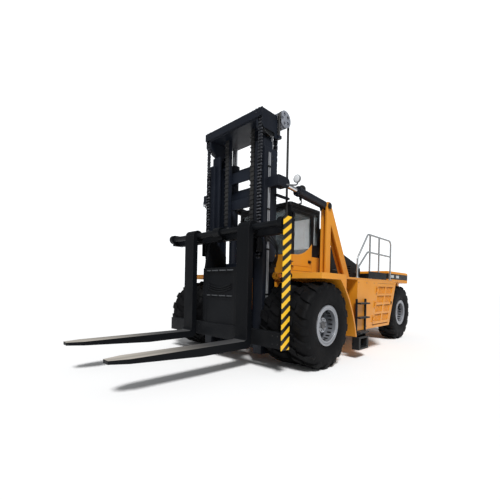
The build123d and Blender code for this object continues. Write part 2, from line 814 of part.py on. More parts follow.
with BuildPart() as door_left:
    block(door_x0 + leaf_gap, door_x1 - leaf_gap, cab_y - leaf_t, cab_y, door_sill + leaf_gap,
          door_head - leaf_gap)
    extrude(window_outline(cab_y + 1), amount=cab_wall + 2, mode=Mode.SUBTRACT)
    for z in door_hinges:
        low = z - door_eye_half
        high = z + door_eye_half
        block(door_x1 - leaf_gap - 40, door_x1 - leaf_gap, cab_y - 5, door_pin_y + 8, low, high)
        block(door_x1 - leaf_gap - 5, door_x1 + 4, cab_y + 4, door_pin_y + 8, low, high)
        rod_z(door_pin_x, door_pin_y, low, high, door_eye_r)
        rod_z(door_pin_x, door_pin_y, low - 1, high + 1, door_pin_r + pin_fit, mode=Mode.SUBTRACT)
with BuildPart() as pane_left:
    extrude(window_outline(cab_y - pane_inset), amount=pane_t)
with BuildPart() as hinges_left:
    for z in door_hinges:
        reach = door_eye_half + cap_gap + cap_h
        rod_z(door_pin_x, door_pin_y, z - reach, z + reach, door_pin_r)
        for z0 in (z - reach, z + reach - cap_h):
            rod_z(door_pin_x, door_pin_y, z0, z0 + cap_h, door_eye_r)
            block(door_pin_x, door_x1 + 60, cab_y, door_pin_y + 10, z0, z0 + cap_h)
for side, s in SIDES:
    with BuildPart() as cab_door:
        add(door_left.part if s > 0 else mirror(door_left.part, Plane.XZ))
    finish(cab_door, f"cab_door_{side}")
    with BuildPart() as cab_door_glass:
        add(pane_left.part if s > 0 else mirror(pane_left.part, Plane.XZ))
    finish(cab_door_glass, f"cab_door_glass_{side}")
with BuildPart() as cab_hinges:
    add(hinges_left.part)
    add(mirror(hinges_left.part, Plane.XZ))
finish(cab_hinges, "cab_hinges")

# Seat on its pedestal, and the console with the steering wheel.
floor_z = cab_z0 + floor_t
cushion_z = cab_z0 + 360
cushion_h = 140
cushion_r = 45
back_top = cab_z0 + 1150
with BuildPart() as seat:
    block(-1240, -720, -280, 280, cushion_z, cushion_z + cushion_h)
    plate(((-1240, cushion_z + cushion_h - 10), (-1100, cushion_z + cushion_h - 10), (-1190, back_top),
           (-1300, back_top)),
          -260, 260)
    fillet(seat.edges().group_by(Axis.Z)[-1], cushion_r)
    block(-1200, -760, -240, 240, floor_z, cushion_z + 10)
finish(seat, "seat")

console_line = ((-470, floor_z), (-450, cab_z0 + 480), (-520, cab_z0 + 700), (-600, cab_z0 + 640),
                (-620, floor_z))
console_y = 330
column_lean = (0, -35, 0)
column_r = 28
column_l = 240
wheel_r = 190
wheel_grip_r = 16
wheel_hub_r = 45
spoke_l = 370
spoke_w = 26
with BuildPart() as console:
    plate(console_line, -console_y, console_y)
    with Locations(Location((axle_x - 590, 0, cab_z0 + 760), column_lean)):
        Cylinder(column_r, column_l)
    with Locations(Location((axle_x - 660, 0, cab_z0 + 860), column_lean)):
        Torus(wheel_r, wheel_grip_r)
        Cylinder(wheel_hub_r, 30)
        Box(spoke_l, spoke_w, wheel_grip_r)
        Box(spoke_w, spoke_l, wheel_grip_r)
finish(console, "console")

# Air cleaner on the left and silencer on the right, on pipes behind the cab.
can_x = -1860
can_y = 720
can_r = 190
can_z0 = 2500
can_z1 = 3020
can_edge_r = 60
can_pipe_r = 60
stack_top = 3420
stack_r = 55
stack_wall = 10
with BuildPart() as air_cleaner:
    rod_z(can_x, can_y, deck_z, can_z0 + 20, can_pipe_r)
    rod_z(can_x, can_y, can_z0, can_z1, can_r)
    fillet(air_cleaner.edges().filter_by(GeomType.CIRCLE).group_by(Axis.Z)[-1], can_edge_r)
finish(air_cleaner, "air_cleaner")
with BuildPart() as silencer:
    rod_z(can_x, -can_y, deck_z, can_z0 + 20, can_pipe_r)
    rod_z(can_x, -can_y, can_z0, can_z1, can_r)
    fillet(silencer.edges().filter_by(GeomType.CIRCLE).group_by(Axis.Z)[-1], can_edge_r)
    rod_z(can_x, -can_y, can_z1 - 20, stack_top, stack_r)
    rod_z(can_x, -can_y, can_z1 + 180, stack_top + 1, stack_r - stack_wall, mode=Mode.SUBTRACT)
finish(silencer, "silencer")

# Handrails of bent tube along both walkways.
rail_r = 20
rail_bend = 120
rail_line_y = side_y - 45
rail_start = -1390
bend_x = -1910
rail_tail = pod_top_end + 330
rail_top = 2790
rail_mid = 2380
rail_posts = (bend_x - rail_bend, bend_x + 0.46 * (rail_tail - bend_x))
top_rail = ((rail_start, deck_z), (rail_start, 2200), (bend_x, rail_top), (rail_tail, rail_top),
            (rail_tail, deck_z))
mid_rail = ((rail_start, 1960), (bend_x, rail_mid), (rail_tail, rail_mid))
with BuildPart() as handrails:
    for _, s in SIDES:
        for run in (top_rail, mid_rail):
            with BuildLine(side_plane(s * rail_line_y)) as path:
                FilletPolyline(*run, radius=rail_bend)
            with BuildSketch(Plane(origin=path.line @ 0, z_dir=path.line % 0)):
                Circle(rail_r)
            sweep(path=path.line)
        for x in rail_posts:
            rod_z(x, s * rail_line_y, deck_z, rail_top, rail_r)
finish(handrails, "handrails")

# Ladders on the pods' front corners: two stringers, three treads and a low step in a hanging frame.
ladder_x0 = -1715
ladder_x1 = -1245
stringer_w = 30
stringer_d = 40
tread_d = 125
tread_half = 16
treads = (570, 890, 1200)
step_z0 = 200
step_z1 = 480
step_back = 60
step_front = 100
step_side = 75
step_bar = 40
hanger_x1 = pod_front - 15
with BuildPart() as ladders:
    for _, s in SIDES:
        for x in (ladder_x0, ladder_x1 - stringer_w):
            block(x, x + stringer_w, s * side_y, s * (side_y + stringer_d), step_z1, 1300)
        for z in treads:
            block(ladder_x0, ladder_x1, s * side_y, s * (side_y + tread_d), z - tread_half, z + tread_half)
        block(ladder_x0, ladder_x1, s * (side_y - step_back), s * (side_y + step_front), step_z0, step_z1)
        block(ladder_x0 + step_side, ladder_x1 - step_side, s * (side_y - step_back - 1),
              s * (side_y + step_front + 1),
              step_z0 + step_bar, step_z1 - step_bar, mode=Mode.SUBTRACT)
        block(ladder_x0, hanger_x1, s * (side_y - step_back), s * side_y, step_z1 - step_bar, pod_z0)
finish(ladders, "ladders")

# Lamps: round head lamps on the fender noses, and flat ones in the counterweight's band.
head_lamp_r = 45
head_lamp_l = 40
head_lamp_y = (1120, 1330)
band_lamp_x = (cw_x1 - 320, cw_x1 - 760)
band_lamp_half = 110
band_lamp_t = 18
band_lamp_z0 = 1880
band_lamp_z1 = 1960
with BuildPart() as lamps:
    for _, s in SIDES:
        for y in head_lamp_y:
            with Locations((axle_x + nose_x + head_lamp_l / 2, s * y, fender_z - fender_t / 2)):
                Cylinder(head_lamp_r, head_lamp_l, rotation=(0, 90, 0))
        for x in band_lamp_x:
            block(x - band_lamp_half, x + band_lamp_half, s * cw_y, s * (cw_y + band_lamp_t), band_lamp_z0,
                  band_lamp_z1)
finish(lamps, "lamps")

# Mirrors on stalks, work lamps at the roof's front edge, and a beacon.
stalk_x = cab_x1 - 200
stalk_y = cab_y + 130
stalk_z = cab_z1 + 40
stalk_r = 14
mirror_z = 3700
mirror_r = 105
mirror_t = 30
beacon_x = cab_x0 + 250
beacon_foot_r = 85
beacon_r = 70
beacon_foot_h = 40
beacon_h = 150
with BuildPart() as roof_fittings:
    for _, s in SIDES:
        rod_y(stalk_x, stalk_z, s * (cab_y + roof_over), s * stalk_y, stalk_r)
        rod_z(stalk_x, s * stalk_y, stalk_z - stalk_r, mirror_z - 20, stalk_r)
        with Locations((axle_x + stalk_x, s * stalk_y, mirror_z)):
            Cylinder(mirror_r, mirror_t, rotation=(0, 90, 0))
        block(cab_x1 + roof_front, cab_x1 + roof_front + 10, s * 150, s * 330, cab_z1 + 20,
              cab_z1 + roof_t - 10)
    roof_z = cab_z1 + roof_t
    rod_z(beacon_x, 0, roof_z, roof_z + beacon_foot_h, beacon_foot_r)
    rod_z(beacon_x, 0, roof_z + beacon_foot_h, roof_z + beacon_foot_h + beacon_h, beacon_r)
finish(roof_fittings, "roof_fittings")

# Outer mast: two channels that open inward, cross beams behind, pivot lugs and cylinder seats.
cross_x0 = 165
cross_y = 720
lug_y0 = 410
lug_y1 = 470
pivot_boss_r = 88
pivot_fit = 0.4
cross_bands = ((mast_z0, 320), (1750, 2050), (3480, 3720), (4020, 4190))
seat_y0 = 440
seat_t = 60
hose_x = -100
hose_y = 905
hose_r = 25
with BuildPart() as outer_mast:
    for _, s in SIDES:
        with BuildSketch(top_plane(mast_z0)):
            with BuildLine():
                Polyline((mast_x0, s * flange_y), (mast_x0, s * mast_y), (mast_x1, s * mast_y),
                         (mast_x1, s * flange_y),
                         (mast_x1 - flange_t, s * flange_y), (mast_x1 - flange_t, s * (mast_y - web_t)),
                         (mast_x0 + flange_t, s * (mast_y - web_t)), (mast_x0 + flange_t, s * flange_y),
                         close=True)
            make_face()
        extrude(amount=outer_top - mast_z0)
    for z0, z1 in cross_bands:
        block(cross_x0, mast_x0, -cross_y, cross_y, z0, z1)
    for _, s in SIDES:
        plate(((cross_x0, mast_z0), (mast_x0, mast_z0), (pivot_x + 60, pivot_z - 70),
               (pivot_x + 60, pivot_z + 60),
               (pivot_x - 60, pivot_z + 60), (cross_x0, cross_bands[0][1])), s * lug_y0, s * lug_y1)
        rod_y(pivot_x, pivot_z, s * lug_y0, s * lug_y1, pivot_boss_r)
        rod_y(pivot_x, pivot_z, s * (lug_y0 - 1), s * (lug_y1 + 1), pivot_r + pivot_fit, mode=Mode.SUBTRACT)
        block(lift_x - lift_r, mast_x0, s * seat_y0, s * cross_y, lift_z0 - seat_t, lift_z0)
finish(outer_mast, "outer_mast")

# Brackets on the mast's sides: the lugs that hold the tilt rods' eyes, and the guides that the hose runs in.
eye_gap = 8
lug_t = 25
lug_half_z = 100
lug_root_x = tilt_mast_x + 120
lug_end_x = tilt_mast_x + 260
lug_in_y = tilt_y - rod_eye_w / 2 - eye_gap - lug_t
lug_out_y = tilt_y + rod_eye_w / 2 + eye_gap
guide_heights = (1500, 3400)
guide_half_z = 20
guide_reach = 50
guide_out = 43
guide_fit = 7
with BuildPart() as mast_brackets:
    for _, s in SIDES:
        block(lug_root_x, lug_end_x, s * mast_y, s * (lug_out_y + lug_t), tilt_mast_z - lug_half_z,
              tilt_mast_z + lug_half_z)
        for y in (lug_in_y, lug_out_y):
            block(tilt_mast_x, lug_end_x, s * y, s * (y + lug_t), tilt_mast_z - lug_half_z,
                  tilt_mast_z + lug_half_z)
            rod_y(tilt_mast_x, tilt_mast_z, s * y, s * (y + lug_t), lug_half_z)
    for z in guide_heights:
        block(hose_x - guide_reach, mast_x0 + guide_reach, mast_y, hose_y + guide_out, z - guide_half_z,
              z + guide_half_z)
        rod_z(hose_x, hose_y, z - guide_half_z - 1, z + guide_half_z + 1, hose_r + guide_fit,
              mode=Mode.SUBTRACT)
finish(mast_brackets, "mast_brackets")

with BuildPart() as lift_barrels:
    for _, s in SIDES:
        rod_z(lift_x, s * lift_y, lift_z0, gland_z, lift_r)
        rod_z(lift_x, s * lift_y, gland_z, gland_z + gland_l, gland_r)
        rod_z(lift_x, s * lift_y, lift_z0 + seat_t, gland_z + gland_l + 1, lift_rod_r + rod_fit,
              mode=Mode.SUBTRACT)
finish(lift_barrels, "lift_barrels")

# Inner mast: nested channels, cross beams, head plates that carry the chain wheels, and the broad head beam.
inner_x0 = mast_x0 + flange_t + nest_gap
inner_x1 = mast_x1 - flange_t - nest_gap
sheave_x = (chain_x + chain_back_x) / 2
wrap_fit = 0.5
sheave_r = (chain_x - chain_back_x - chain_t) / 2 - wrap_fit
head_x0 = 230
head_x1 = 710
head_t = 25
head_foot = inner_top - 250
head_in_y0 = 715
head_in_y1 = 755
head_out_y0 = 855
head_out_y1 = 875
inner_bands = ((1700, 1850), (3260, 3470), (3860, 4100))
wheel_x = 50
wheel_z = 5010
wheel_pitch_r = wheel_x - hose_x
stand_y = (640, 690)
stand_t = 25
clip_z0 = 4560
clip_z1 = 4620
head_in_line = ((inner_x0, head_foot), (inner_x1, head_foot), (inner_x1, clip_z0), (head_x1 - head_t, 4700),
                (head_x1 - head_t, beam_z1), (head_x0, beam_z1), (head_x0, 4700), (inner_x0, clip_z0))
head_out_line = ((head_x0 + 30, 4660), (head_x1 - 70, 4660), (head_x1 - head_t, 4720),
                 (head_x1 - head_t, beam_z1),
                 (head_x0, beam_z1), (head_x0, 4720))
stand_line = ((wheel_x - 110, shelf_z + shelf_t), (wheel_x + 110, shelf_z + shelf_t),
              (wheel_x + 45, wheel_z + 60),
              (wheel_x - 45, wheel_z + 60))
with BuildPart() as inner_mast:
    for _, s in SIDES:
        with BuildSketch(top_plane(inner_z0)):
            with BuildLine():
                Polyline((inner_x0, s * inner_flange_y), (inner_x0, s * inner_y), (inner_x1, s * inner_y),
                         (inner_x1, s * inner_flange_y), (inner_x1 - inner_flange_t, s * inner_flange_y),
                         (inner_x1 - inner_flange_t, s * (inner_y - inner_web_t)),
                         (inner_x0 + inner_flange_t, s * (inner_y - inner_web_t)),
                         (inner_x0 + inner_flange_t, s * inner_flange_y), close=True)
            make_face()
        extrude(amount=inner_top - inner_z0)
        plate(head_in_line, s * head_in_y0, s * head_in_y1)
        plate(head_out_line, s * head_out_y0, s * head_out_y1)
    block(head_x1 - head_t, head_x1, -mast_y, mast_y, beam_z0, beam_z1)
    block(lift_x - 120, head_x1 - head_t, -head_in_y0, head_in_y0, shelf_z, shelf_z + shelf_t)
    for z0, z1 in inner_bands:
        block(inner_x0, inner_x0 + inner_flange_t, -inner_flange_y, inner_flange_y, z0, z1)
    for y in stand_y:
        plate(stand_line, y, y + stand_t)
    block(wheel_x + wheel_pitch_r - 40, head_x0 + 5, head_out_y0 + 5, hose_y + 40, clip_z0, clip_z1)
    block(head_x0 - 5, head_x0 + 70, head_out_y0 + 5, head_out_y1 - 2, clip_z0, 4700)
finish(inner_mast, "inner_mast")

with BuildPart() as lift_rods:
    for _, s in SIDES:
        rod_z(lift_x, s * lift_y, lift_tail_z, shelf_z, lift_rod_r)
finish(lift_rods, "lift_rods")

# Chain wheels between the head plates, and the stepped, spoked wheel that the hose runs over.
wheel_axle_r = 30
wheel_end_y = 950
wheel_steps = (
    # y from, y to, radius
    (715, 760, 125),
    (760, 770, 170),
    (770, 800, 135),
    (800, 810, 170),
    (860, 875, 172),
    (875, 935, wheel_pitch_r - hose_r - wrap_fit),
    (935, wheel_end_y, 172),
)
spoke_ring_r = 98
spoke_hole_r = 36
spoke_count = 5
with BuildPart() as mast_sheaves:
    for _, s in SIDES:
        rod_y(sheave_x, sheave_z, s * head_in_y1, s * head_out_y0, sheave_r)
    rod_y(wheel_x, wheel_z, wheel_steps[0][0], wheel_end_y, wheel_axle_r)
    for y0, y1, r in wheel_steps:
        rod_y(wheel_x, wheel_z, y0, y1, r)
    with BuildSketch(side_plane(wheel_end_y + 10)):
        with Locations((wheel_x, wheel_z)):
            with PolarLocations(spoke_ring_r, spoke_count):
                Circle(spoke_hole_r)
    extrude(amount=40, mode=Mode.SUBTRACT)
finish(mast_sheaves, "mast_sheaves")

# Lift chains: straight runs in front and behind, joined over the wheels by a run of straight links.
wrap_r = sheave_r + wrap_fit
wrap_links = 24
with BuildPart() as lift_chains:
    for _, s in SIDES:
        y0 = s * (chain_y - chain_w / 2)
        y1 = s * (chain_y + chain_w / 2)
        block(chain_x - chain_t / 2, chain_x + chain_t / 2, y0, y1, chain_z0, sheave_z)
        block(chain_back_x - chain_t / 2, chain_back_x + chain_t / 2, y0, y1, chain_back_z0, sheave_z)
        with BuildSketch(side_plane(s * chain_y)):
            with Locations((sheave_x, sheave_z)):
                RegularPolygon(wrap_r + chain_t, wrap_links, major_radius=False, rotation=180 / wrap_links)
                RegularPolygon(wrap_r, wrap_links, major_radius=False, rotation=180 / wrap_links,
                               mode=Mode.SUBTRACT)
                with Locations((0, -wrap_r)):
                    Rectangle(4 * wrap_r, 2 * wrap_r, mode=Mode.SUBTRACT)
        extrude(amount=chain_w / 2, both=True)
finish(lift_chains, "lift_chains")

# Hose over its wheel: a long run down the mast's side, half a turn, and a short run to the clip.
hose_end_z = 1380
with BuildPart() as mast_hose:
    rod_z(hose_x, hose_y, hose_end_z, wheel_z, hose_r)
    with BuildSketch(Plane(origin=(axle_x + hose_x, hose_y, wheel_z))):
        Circle(hose_r)
    revolve(axis=Axis((axle_x + wheel_x, hose_y, wheel_z), (0, 1, 0)), revolution_arc=180)
    rod_z(wheel_x + wheel_pitch_r, hose_y, clip_z1, wheel_z, hose_r)
finish(mast_hose, "mast_hose")

# Carriage: two wide beams, roller plates that run in the inner mast, uprights, shield and chain anchors.
roller_x = (inner_x0 + inner_x1) / 2
roller_fit = 0.4
roller_r = (inner_x1 - inner_x0) / 2 - inner_flange_t - roller_fit
roller_heights = (710, 2070)
stub_r = 35
roller_y0 = 590
roller_y1 = 700
cheek_y0 = 485
cheek_y1 = 545
cheek_back = 345
cheek_waist = 640
cheek_front = 930
upright_y = 430
upright_x1 = 950
upright_top = 1900
weld = 10
shield_x = 940
shield_t = 20
shield_ribs = (1270, 1880)
rib_h = 40
anchor_x0 = 610
anchor_z0 = 2200
anchor_t = 18
anchor_gap = 8
cheek_line = ((cheek_back, 600), (cheek_back, 820), (cheek_waist, 1000), (cheek_waist, 1750),
              (cheek_back, 1950),
              (cheek_back, 2200), (upper_beam_x0 + 10, upper_beam_z0 + 130),
              (upper_beam_x0 + 60, upper_beam_z0 + 130),
              (lower_beam_x0, 2200), (cheek_front, upright_top), (cheek_front, 520), (lower_beam_x0, 520))
anchor_line = ((anchor_x0, anchor_z0), (upper_beam_x0 + 10, anchor_z0),
               (upper_beam_x0 + 10, upper_beam_z0 + 90),
               (upper_beam_x0 - 20, upper_beam_z0 + 90), (anchor_x0, anchor_z0 + 220))
with BuildPart() as carriage:
    block(lower_beam_x0, lower_beam_x1, -carriage_y, carriage_y, lower_beam_z0, lower_beam_z1)
    block(upper_beam_x0, upper_beam_x1, -carriage_y, carriage_y, upper_beam_z0, upper_beam_z1)
    block(shield_x - shield_t, shield_x, -upright_y, upright_y, lower_beam_z1 - weld, upright_top)
    for z in shield_ribs:
        block(shield_x - 2 * shield_t, upright_x1, -upright_y, upright_y, z - rib_h / 2, z + rib_h / 2)
    for _, s in SIDES:
        block(lower_beam_x0, upright_x1, s * upright_y, s * cheek_y1, lower_beam_z1 - weld, upright_top)
        plate(cheek_line, s * cheek_y0, s * cheek_y1)
        for z in roller_heights:
            rod_y(roller_x, z, s * cheek_y1, s * roller_y0, stub_r)
            rod_y(roller_x, z, s * roller_y0, s * roller_y1, roller_r)
        for y in (chain_y - chain_w / 2 - anchor_gap - anchor_t, chain_y + chain_w / 2 + anchor_gap):
            plate(anchor_line, s * y, s * (y + anchor_t))
finish(carriage, "carriage")

# Seats on the upper beam that hold the fork shaft at its middle and ends.
seat_r = 100
seat_y = 95
end_seat_y = 1620
with BuildPart() as shaft_seats:
    for y0, y1 in ((-seat_y, seat_y), (end_seat_y, carriage_y), (-carriage_y, -end_seat_y)):
        block(upper_beam_x1, shaft_x, y0, y1, upper_beam_z0, upper_beam_z1)
        rod_y(shaft_x, shaft_z, y0, y1, seat_r)
        rod_y(shaft_x, shaft_z, y0 - 1, y1 + 1, shaft_r, mode=Mode.SUBTRACT)
finish(shaft_seats, "shaft_seats")

shaft_over = 15
with BuildPart() as fork_shaft:
    rod_y(shaft_x, shaft_z, -carriage_y - shaft_over, carriage_y + shaft_over, shaft_r)
finish(fork_shaft, "fork_shaft")

# Striped warning plate, on spacers at the carriage's left end.
edge_y = carriage_y + 44
edge_t = 16
edge_x1 = shaft_x + 90
spacer_x1 = 930
with BuildPart() as edge_plates:
    block(lower_beam_x0, edge_x1, edge_y, edge_y + edge_t, lower_beam_z0, upper_beam_z1)
    for z0, z1 in ((lower_beam_z0 + 50, lower_beam_z1 - 50), (upper_beam_z0 + 10, upper_beam_z1 - 20)):
        block(lower_beam_x0 + 5, spacer_x1, carriage_y, edge_y + 1, z0, z1)
finish(edge_plates, "edge_plates")

# Forks: forged L sections that hang from the shaft and slide along it, tapered in depth and width to the tip.
fork_top = fork_z + heel_t
shank_x1 = shank_x0 + shank_t
heel_r = 110
inner_heel_r = 70
hook_r = 125
tip_l = 260
for side, s in SIDES:
    y0 = fork_y - fork_w / 2
    y1 = fork_y + fork_w / 2
    with BuildPart() as fork:
        plate(((shank_x0, shaft_z), (shank_x0, fork_z), (shank_x1 + fork_taper, fork_z),
               (fork_reach, fork_top - tip_t),
               (fork_reach, fork_top), (shank_x1, fork_top), (shank_x1, shaft_z)), s * y0, s * y1)
        for x, z, r in ((shank_x0, fork_z, heel_r), (shank_x1, fork_top, inner_heel_r)):
            corner = Vector(axle_x + x, s * fork_y, z)
            fillet(fork.edges().filter_by(Axis.Y).sort_by_distance(corner)[0], r)
        rod_y(shaft_x, shaft_z, s * y0, s * y1, hook_r)
        rod_y(shaft_x, shaft_z, s * (y0 - 1), s * (y1 + 1), shaft_r + shaft_fit, mode=Mode.SUBTRACT)
        for edge in (-1, 1):
            with BuildSketch(top_plane(fork_z - 1)):
                with BuildLine():
                    Polyline((fork_reach + 1, s * fork_y + edge * (fork_w / 2 + 1)),
                             (fork_reach - tip_l, s * fork_y + edge * (fork_w / 2 + 1)),
                             (fork_reach - tip_l, s * fork_y + edge * fork_w / 2),
                             (fork_reach + 1, s * fork_y + edge * fork_w / 4), close=True)
                make_face()
            extrude(amount=heel_t + 2, mode=Mode.SUBTRACT)
    finish(fork, f"fork_{side}")

# Tilt cylinders: barrel on the frame's apex pin, rod out to the mast lugs.
tilt_span = math.hypot(tilt_mast_x - apex_x, tilt_mast_z - apex_z)
tilt_dir = ((tilt_mast_x - apex_x) / tilt_span, 0, (tilt_mast_z - apex_z) / tilt_span)
for side, s in SIDES:
    apex = Plane(origin=(axle_x + apex_x, s * tilt_y, apex_z), x_dir=(0, 1, 0), z_dir=tilt_dir)
    with BuildPart() as tilt_barrel:
        rod_y(apex_x, apex_z, s * (tilt_y - tilt_eye_w / 2), s * (tilt_y + tilt_eye_w / 2), barrel_eye_r)
        for d0, d1, r in ((tilt_neck_start, tilt_barrel_start, tilt_neck_r),
                          (tilt_barrel_start, tilt_barrel_end, tilt_barrel_r),
                          (tilt_barrel_end - tilt_gland_l, tilt_barrel_end, tilt_gland_r)):
            with BuildSketch(apex.offset(d0)):
                Circle(r)
            extrude(amount=d1 - d0)
        with BuildSketch(apex.offset(tilt_barrel_start + tilt_base_t)):
            Circle(tilt_rod_r + rod_fit)
        extrude(amount=tilt_barrel_end, mode=Mode.SUBTRACT)
        rod_y(apex_x, apex_z, s * (tilt_y - tilt_eye_w), s * (tilt_y + tilt_eye_w), tilt_pin_r + pivot_fit,
              mode=Mode.SUBTRACT)
    finish(tilt_barrel, f"tilt_barrel_{side}")
    with BuildPart() as tilt_rod:
        with BuildSketch(apex.offset(tilt_rod_tail)):
            Circle(tilt_rod_r)
        extrude(amount=tilt_span - tilt_rod_tail - tilt_eye_r / 2)
        rod_y(tilt_mast_x, tilt_mast_z, s * (tilt_y - rod_eye_w / 2), s * (tilt_y + rod_eye_w / 2),
              tilt_eye_r)
    finish(tilt_rod, f"tilt_rod_{side}")
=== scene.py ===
import math

import bmesh
import bpy
from mathutils import Matrix, Vector


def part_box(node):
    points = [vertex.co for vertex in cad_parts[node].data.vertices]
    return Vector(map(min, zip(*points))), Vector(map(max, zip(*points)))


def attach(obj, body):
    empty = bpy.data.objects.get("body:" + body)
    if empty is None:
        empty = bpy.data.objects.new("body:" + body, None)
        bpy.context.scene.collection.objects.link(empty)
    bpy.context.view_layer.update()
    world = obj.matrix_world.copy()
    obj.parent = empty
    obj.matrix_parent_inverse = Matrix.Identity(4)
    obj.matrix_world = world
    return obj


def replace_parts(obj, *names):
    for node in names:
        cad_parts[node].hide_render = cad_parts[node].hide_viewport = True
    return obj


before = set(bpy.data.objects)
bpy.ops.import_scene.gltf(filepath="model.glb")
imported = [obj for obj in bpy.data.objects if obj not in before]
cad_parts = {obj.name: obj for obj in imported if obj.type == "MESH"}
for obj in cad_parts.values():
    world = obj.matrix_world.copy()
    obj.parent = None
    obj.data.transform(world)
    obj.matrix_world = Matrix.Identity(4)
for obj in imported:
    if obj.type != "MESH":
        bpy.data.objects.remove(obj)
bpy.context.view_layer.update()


# Main frame, axles and engine. The frame is two deep welded plate rails under orange enamel, the axles are
# cast and sprayed black, and the engine shows only as a dark iron mass between the rails.
def maths(operation, swapped=False):
    """An operator of Wire that becomes a Math node, with the other value first where swapped."""
    def join(wire, other):
        pair = (other, wire) if swapped else (wire, other)
        return wire.node("Math", {"operation": operation}, dict(enumerate(pair)))
    return join


class Wire:
    """A shader socket that adds up: arithmetic on values becomes Math nodes."""

    __add__ = __radd__ = maths("ADD")
    __sub__ = maths("SUBTRACT")
    __rsub__ = maths("SUBTRACT", swapped=True)
    __mul__ = __rmul__ = maths("MULTIPLY")
    __gt__ = maths("GREATER_THAN")
    __lt__ = maths("LESS_THAN")

    def __init__(self, tree, socket=None):
        self.tree = tree
        self.socket = socket

    def fill(self, made, values):
        """Links or sets the sockets of a node."""
        for key, value in values.items():
            if isinstance(value, Wire):
                self.tree.links.new(value.socket, made.inputs[key])
            else:
                made.inputs[key].default_value = value

    def node(self, kind, settings=None, values=None, out=0):
        """Adds a node of that type: its settings are set first, then its sockets are filled or linked."""
        made = self.tree.nodes.new("ShaderNode" + kind)
        for key, value in (settings or {}).items():
            setattr(made, key, value)
        self.fill(made, values or {})
        return Wire(self.tree, made.outputs[out])

    def wrap(self):
        """The part of a value after the point, so that a pattern repeats."""
        return self.node("Math", {"operation": "FRACT"}, {0: self})

    def between(self, low, high):
        """0 below low, 1 above high, and a smooth step between."""
        values = {"Value": self, "From Min": low, "From Max": high}
        return self.node("MapRange", {"interpolation_type": "SMOOTHSTEP"}, values)

    def blend(self, low, high):
        """A colour that goes from low to high as this value goes from 0 to 1."""
        return self.node("Mix", {"data_type": "RGBA"}, {0: self, 6: low, 7: high}, out=2)

    def axis(self, letter):
        return self.node("SeparateXYZ", None, {"Vector": self}, out=letter)

    def noise(self, scale, detail=3.0, stretch=(1.0, 1.0, 1.0)):
        """Cloudy noise at this place, drawn out along an axis where stretch is small."""
        drawn = self.node("VectorMath", {"operation": "MULTIPLY"}, {0: self, 1: stretch})
        return self.node("TexNoise", None, {"Vector": drawn, "Scale": scale, "Detail": detail})


def rgb(red, green, blue):
    return (red, green, blue, 1.0)


def grey(level):
    return rgb(level, level, level)


def new_finish(name):
    """A material, and the place on the surface in metres."""
    made = bpy.data.materials.new(name)
    made.use_nodes = True
    return made, Wire(made.node_tree).node("TexCoord", out="Object")


def set_finish(made, sockets, relief=None, depth=0.001, rounding=None):
    """Fills the shader's sockets, with relief as bump of that depth over edges eased by rounding."""
    if relief is not None:
        values = {"Height": relief, "Strength": 1.0, "Distance": depth}
        if rounding is not None:
            values["Normal"] = rounding
        sockets = dict(sockets, Normal=relief.node("Bump", None, values))
    tree = made.node_tree
    Wire(tree).fill(tree.nodes["Principled BSDF"], sockets)


def eased_edges(place, radius):
    """The surface normal, rounded off near edges."""
    return place.node("Bevel", {"samples": 4}, {"Radius": radius})


def edge_mask(eased):
    """0 on a face and rising to 1 right at an edge, where the eased normal leaves the true one."""
    plain = eased.node("NewGeometry", out="Normal")
    along = eased.node("VectorMath", {"operation": "DOT_PRODUCT"}, {0: eased, 1: plain}, out="Value")
    return (1 - along) * 6


def painted(name, colour, shade, chip, roughness=0.36, dust=0.3, lacquer=0.0, metallic=0.0, gleam=0.35,
            patch=None):
    """Sprayed steel: the colour drifts a little, dust lies low and in streaks, edges are chipped.

    patch, where there is one, takes the place and returns a mask and the colour that it shows."""
    made, place = new_finish(name)
    road_dust = rgb(0.16, 0.14, 0.11)
    eased = eased_edges(place, radius=0.008)
    drift = place.noise(scale=0.7).between(0.35, 0.7)
    streak = place.noise(scale=2.2, detail=5.0, stretch=(1.8, 1.8, 0.1)).between(0.45, 0.8)
    low = 1 - place.axis("Z").between(0.1, 1.5)
    grime = (streak * 0.6 + low * place.noise(scale=5.0, detail=5.0)) * dust
    chipped = (edge_mask(eased) * place.noise(scale=16.0, detail=5.0)).between(0.5, 0.75)
    body = drift.blend(colour, shade)
    if patch is not None:
        mask, other = patch(place)
        body = mask.blend(body, other)
    smear = place.noise(scale=1.6, detail=4.0).between(0.3, 0.75)
    sockets = {
        "Base Color": chipped.blend(grime.blend(body, road_dust), chip),
        "Roughness": roughness + smear * 0.14 + grime * 0.35,
        "Metallic": metallic,
        "Specular IOR Level": gleam,
        "Coat Weight": lacquer,
        "Coat Roughness": 0.12,
    }
    orange_peel = place.noise(scale=240.0, detail=2.0)
    set_finish(made, sockets, orange_peel, depth=0.0006, rounding=eased)
    return made


def coat(finish, *names):
    """Puts a finish on CAD nodes."""
    for name in names:
        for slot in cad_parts[name].material_slots:
            slot.material = finish


primer = rgb(0.26, 0.22, 0.19)
orange = rgb(0.68, 0.275, 0.018)
deep_orange = rgb(0.6, 0.225, 0.012)
coal = rgb(0.0036, 0.0042, 0.0054)
slate = rgb(0.008, 0.009, 0.011)
bare_steel = grey(0.11)
rusty_iron = rgb(0.1, 0.09, 0.08)
orange_enamel = painted("orange_enamel", orange, deep_orange, primer, roughness=0.34, dust=0.14, lacquer=0.08)
black_enamel = painted("black_enamel", coal, slate, bare_steel, roughness=0.42, dust=0.08, gleam=0.16)
engine_iron = painted("engine_iron", slate, coal, rusty_iron, roughness=0.6)
coat(orange_enamel, "chassis_frame")
coat(black_enamel, "front_axle", "rear_axle", "steer_knuckle_left", "steer_knuckle_right")
coat(engine_iron, "engine_block")

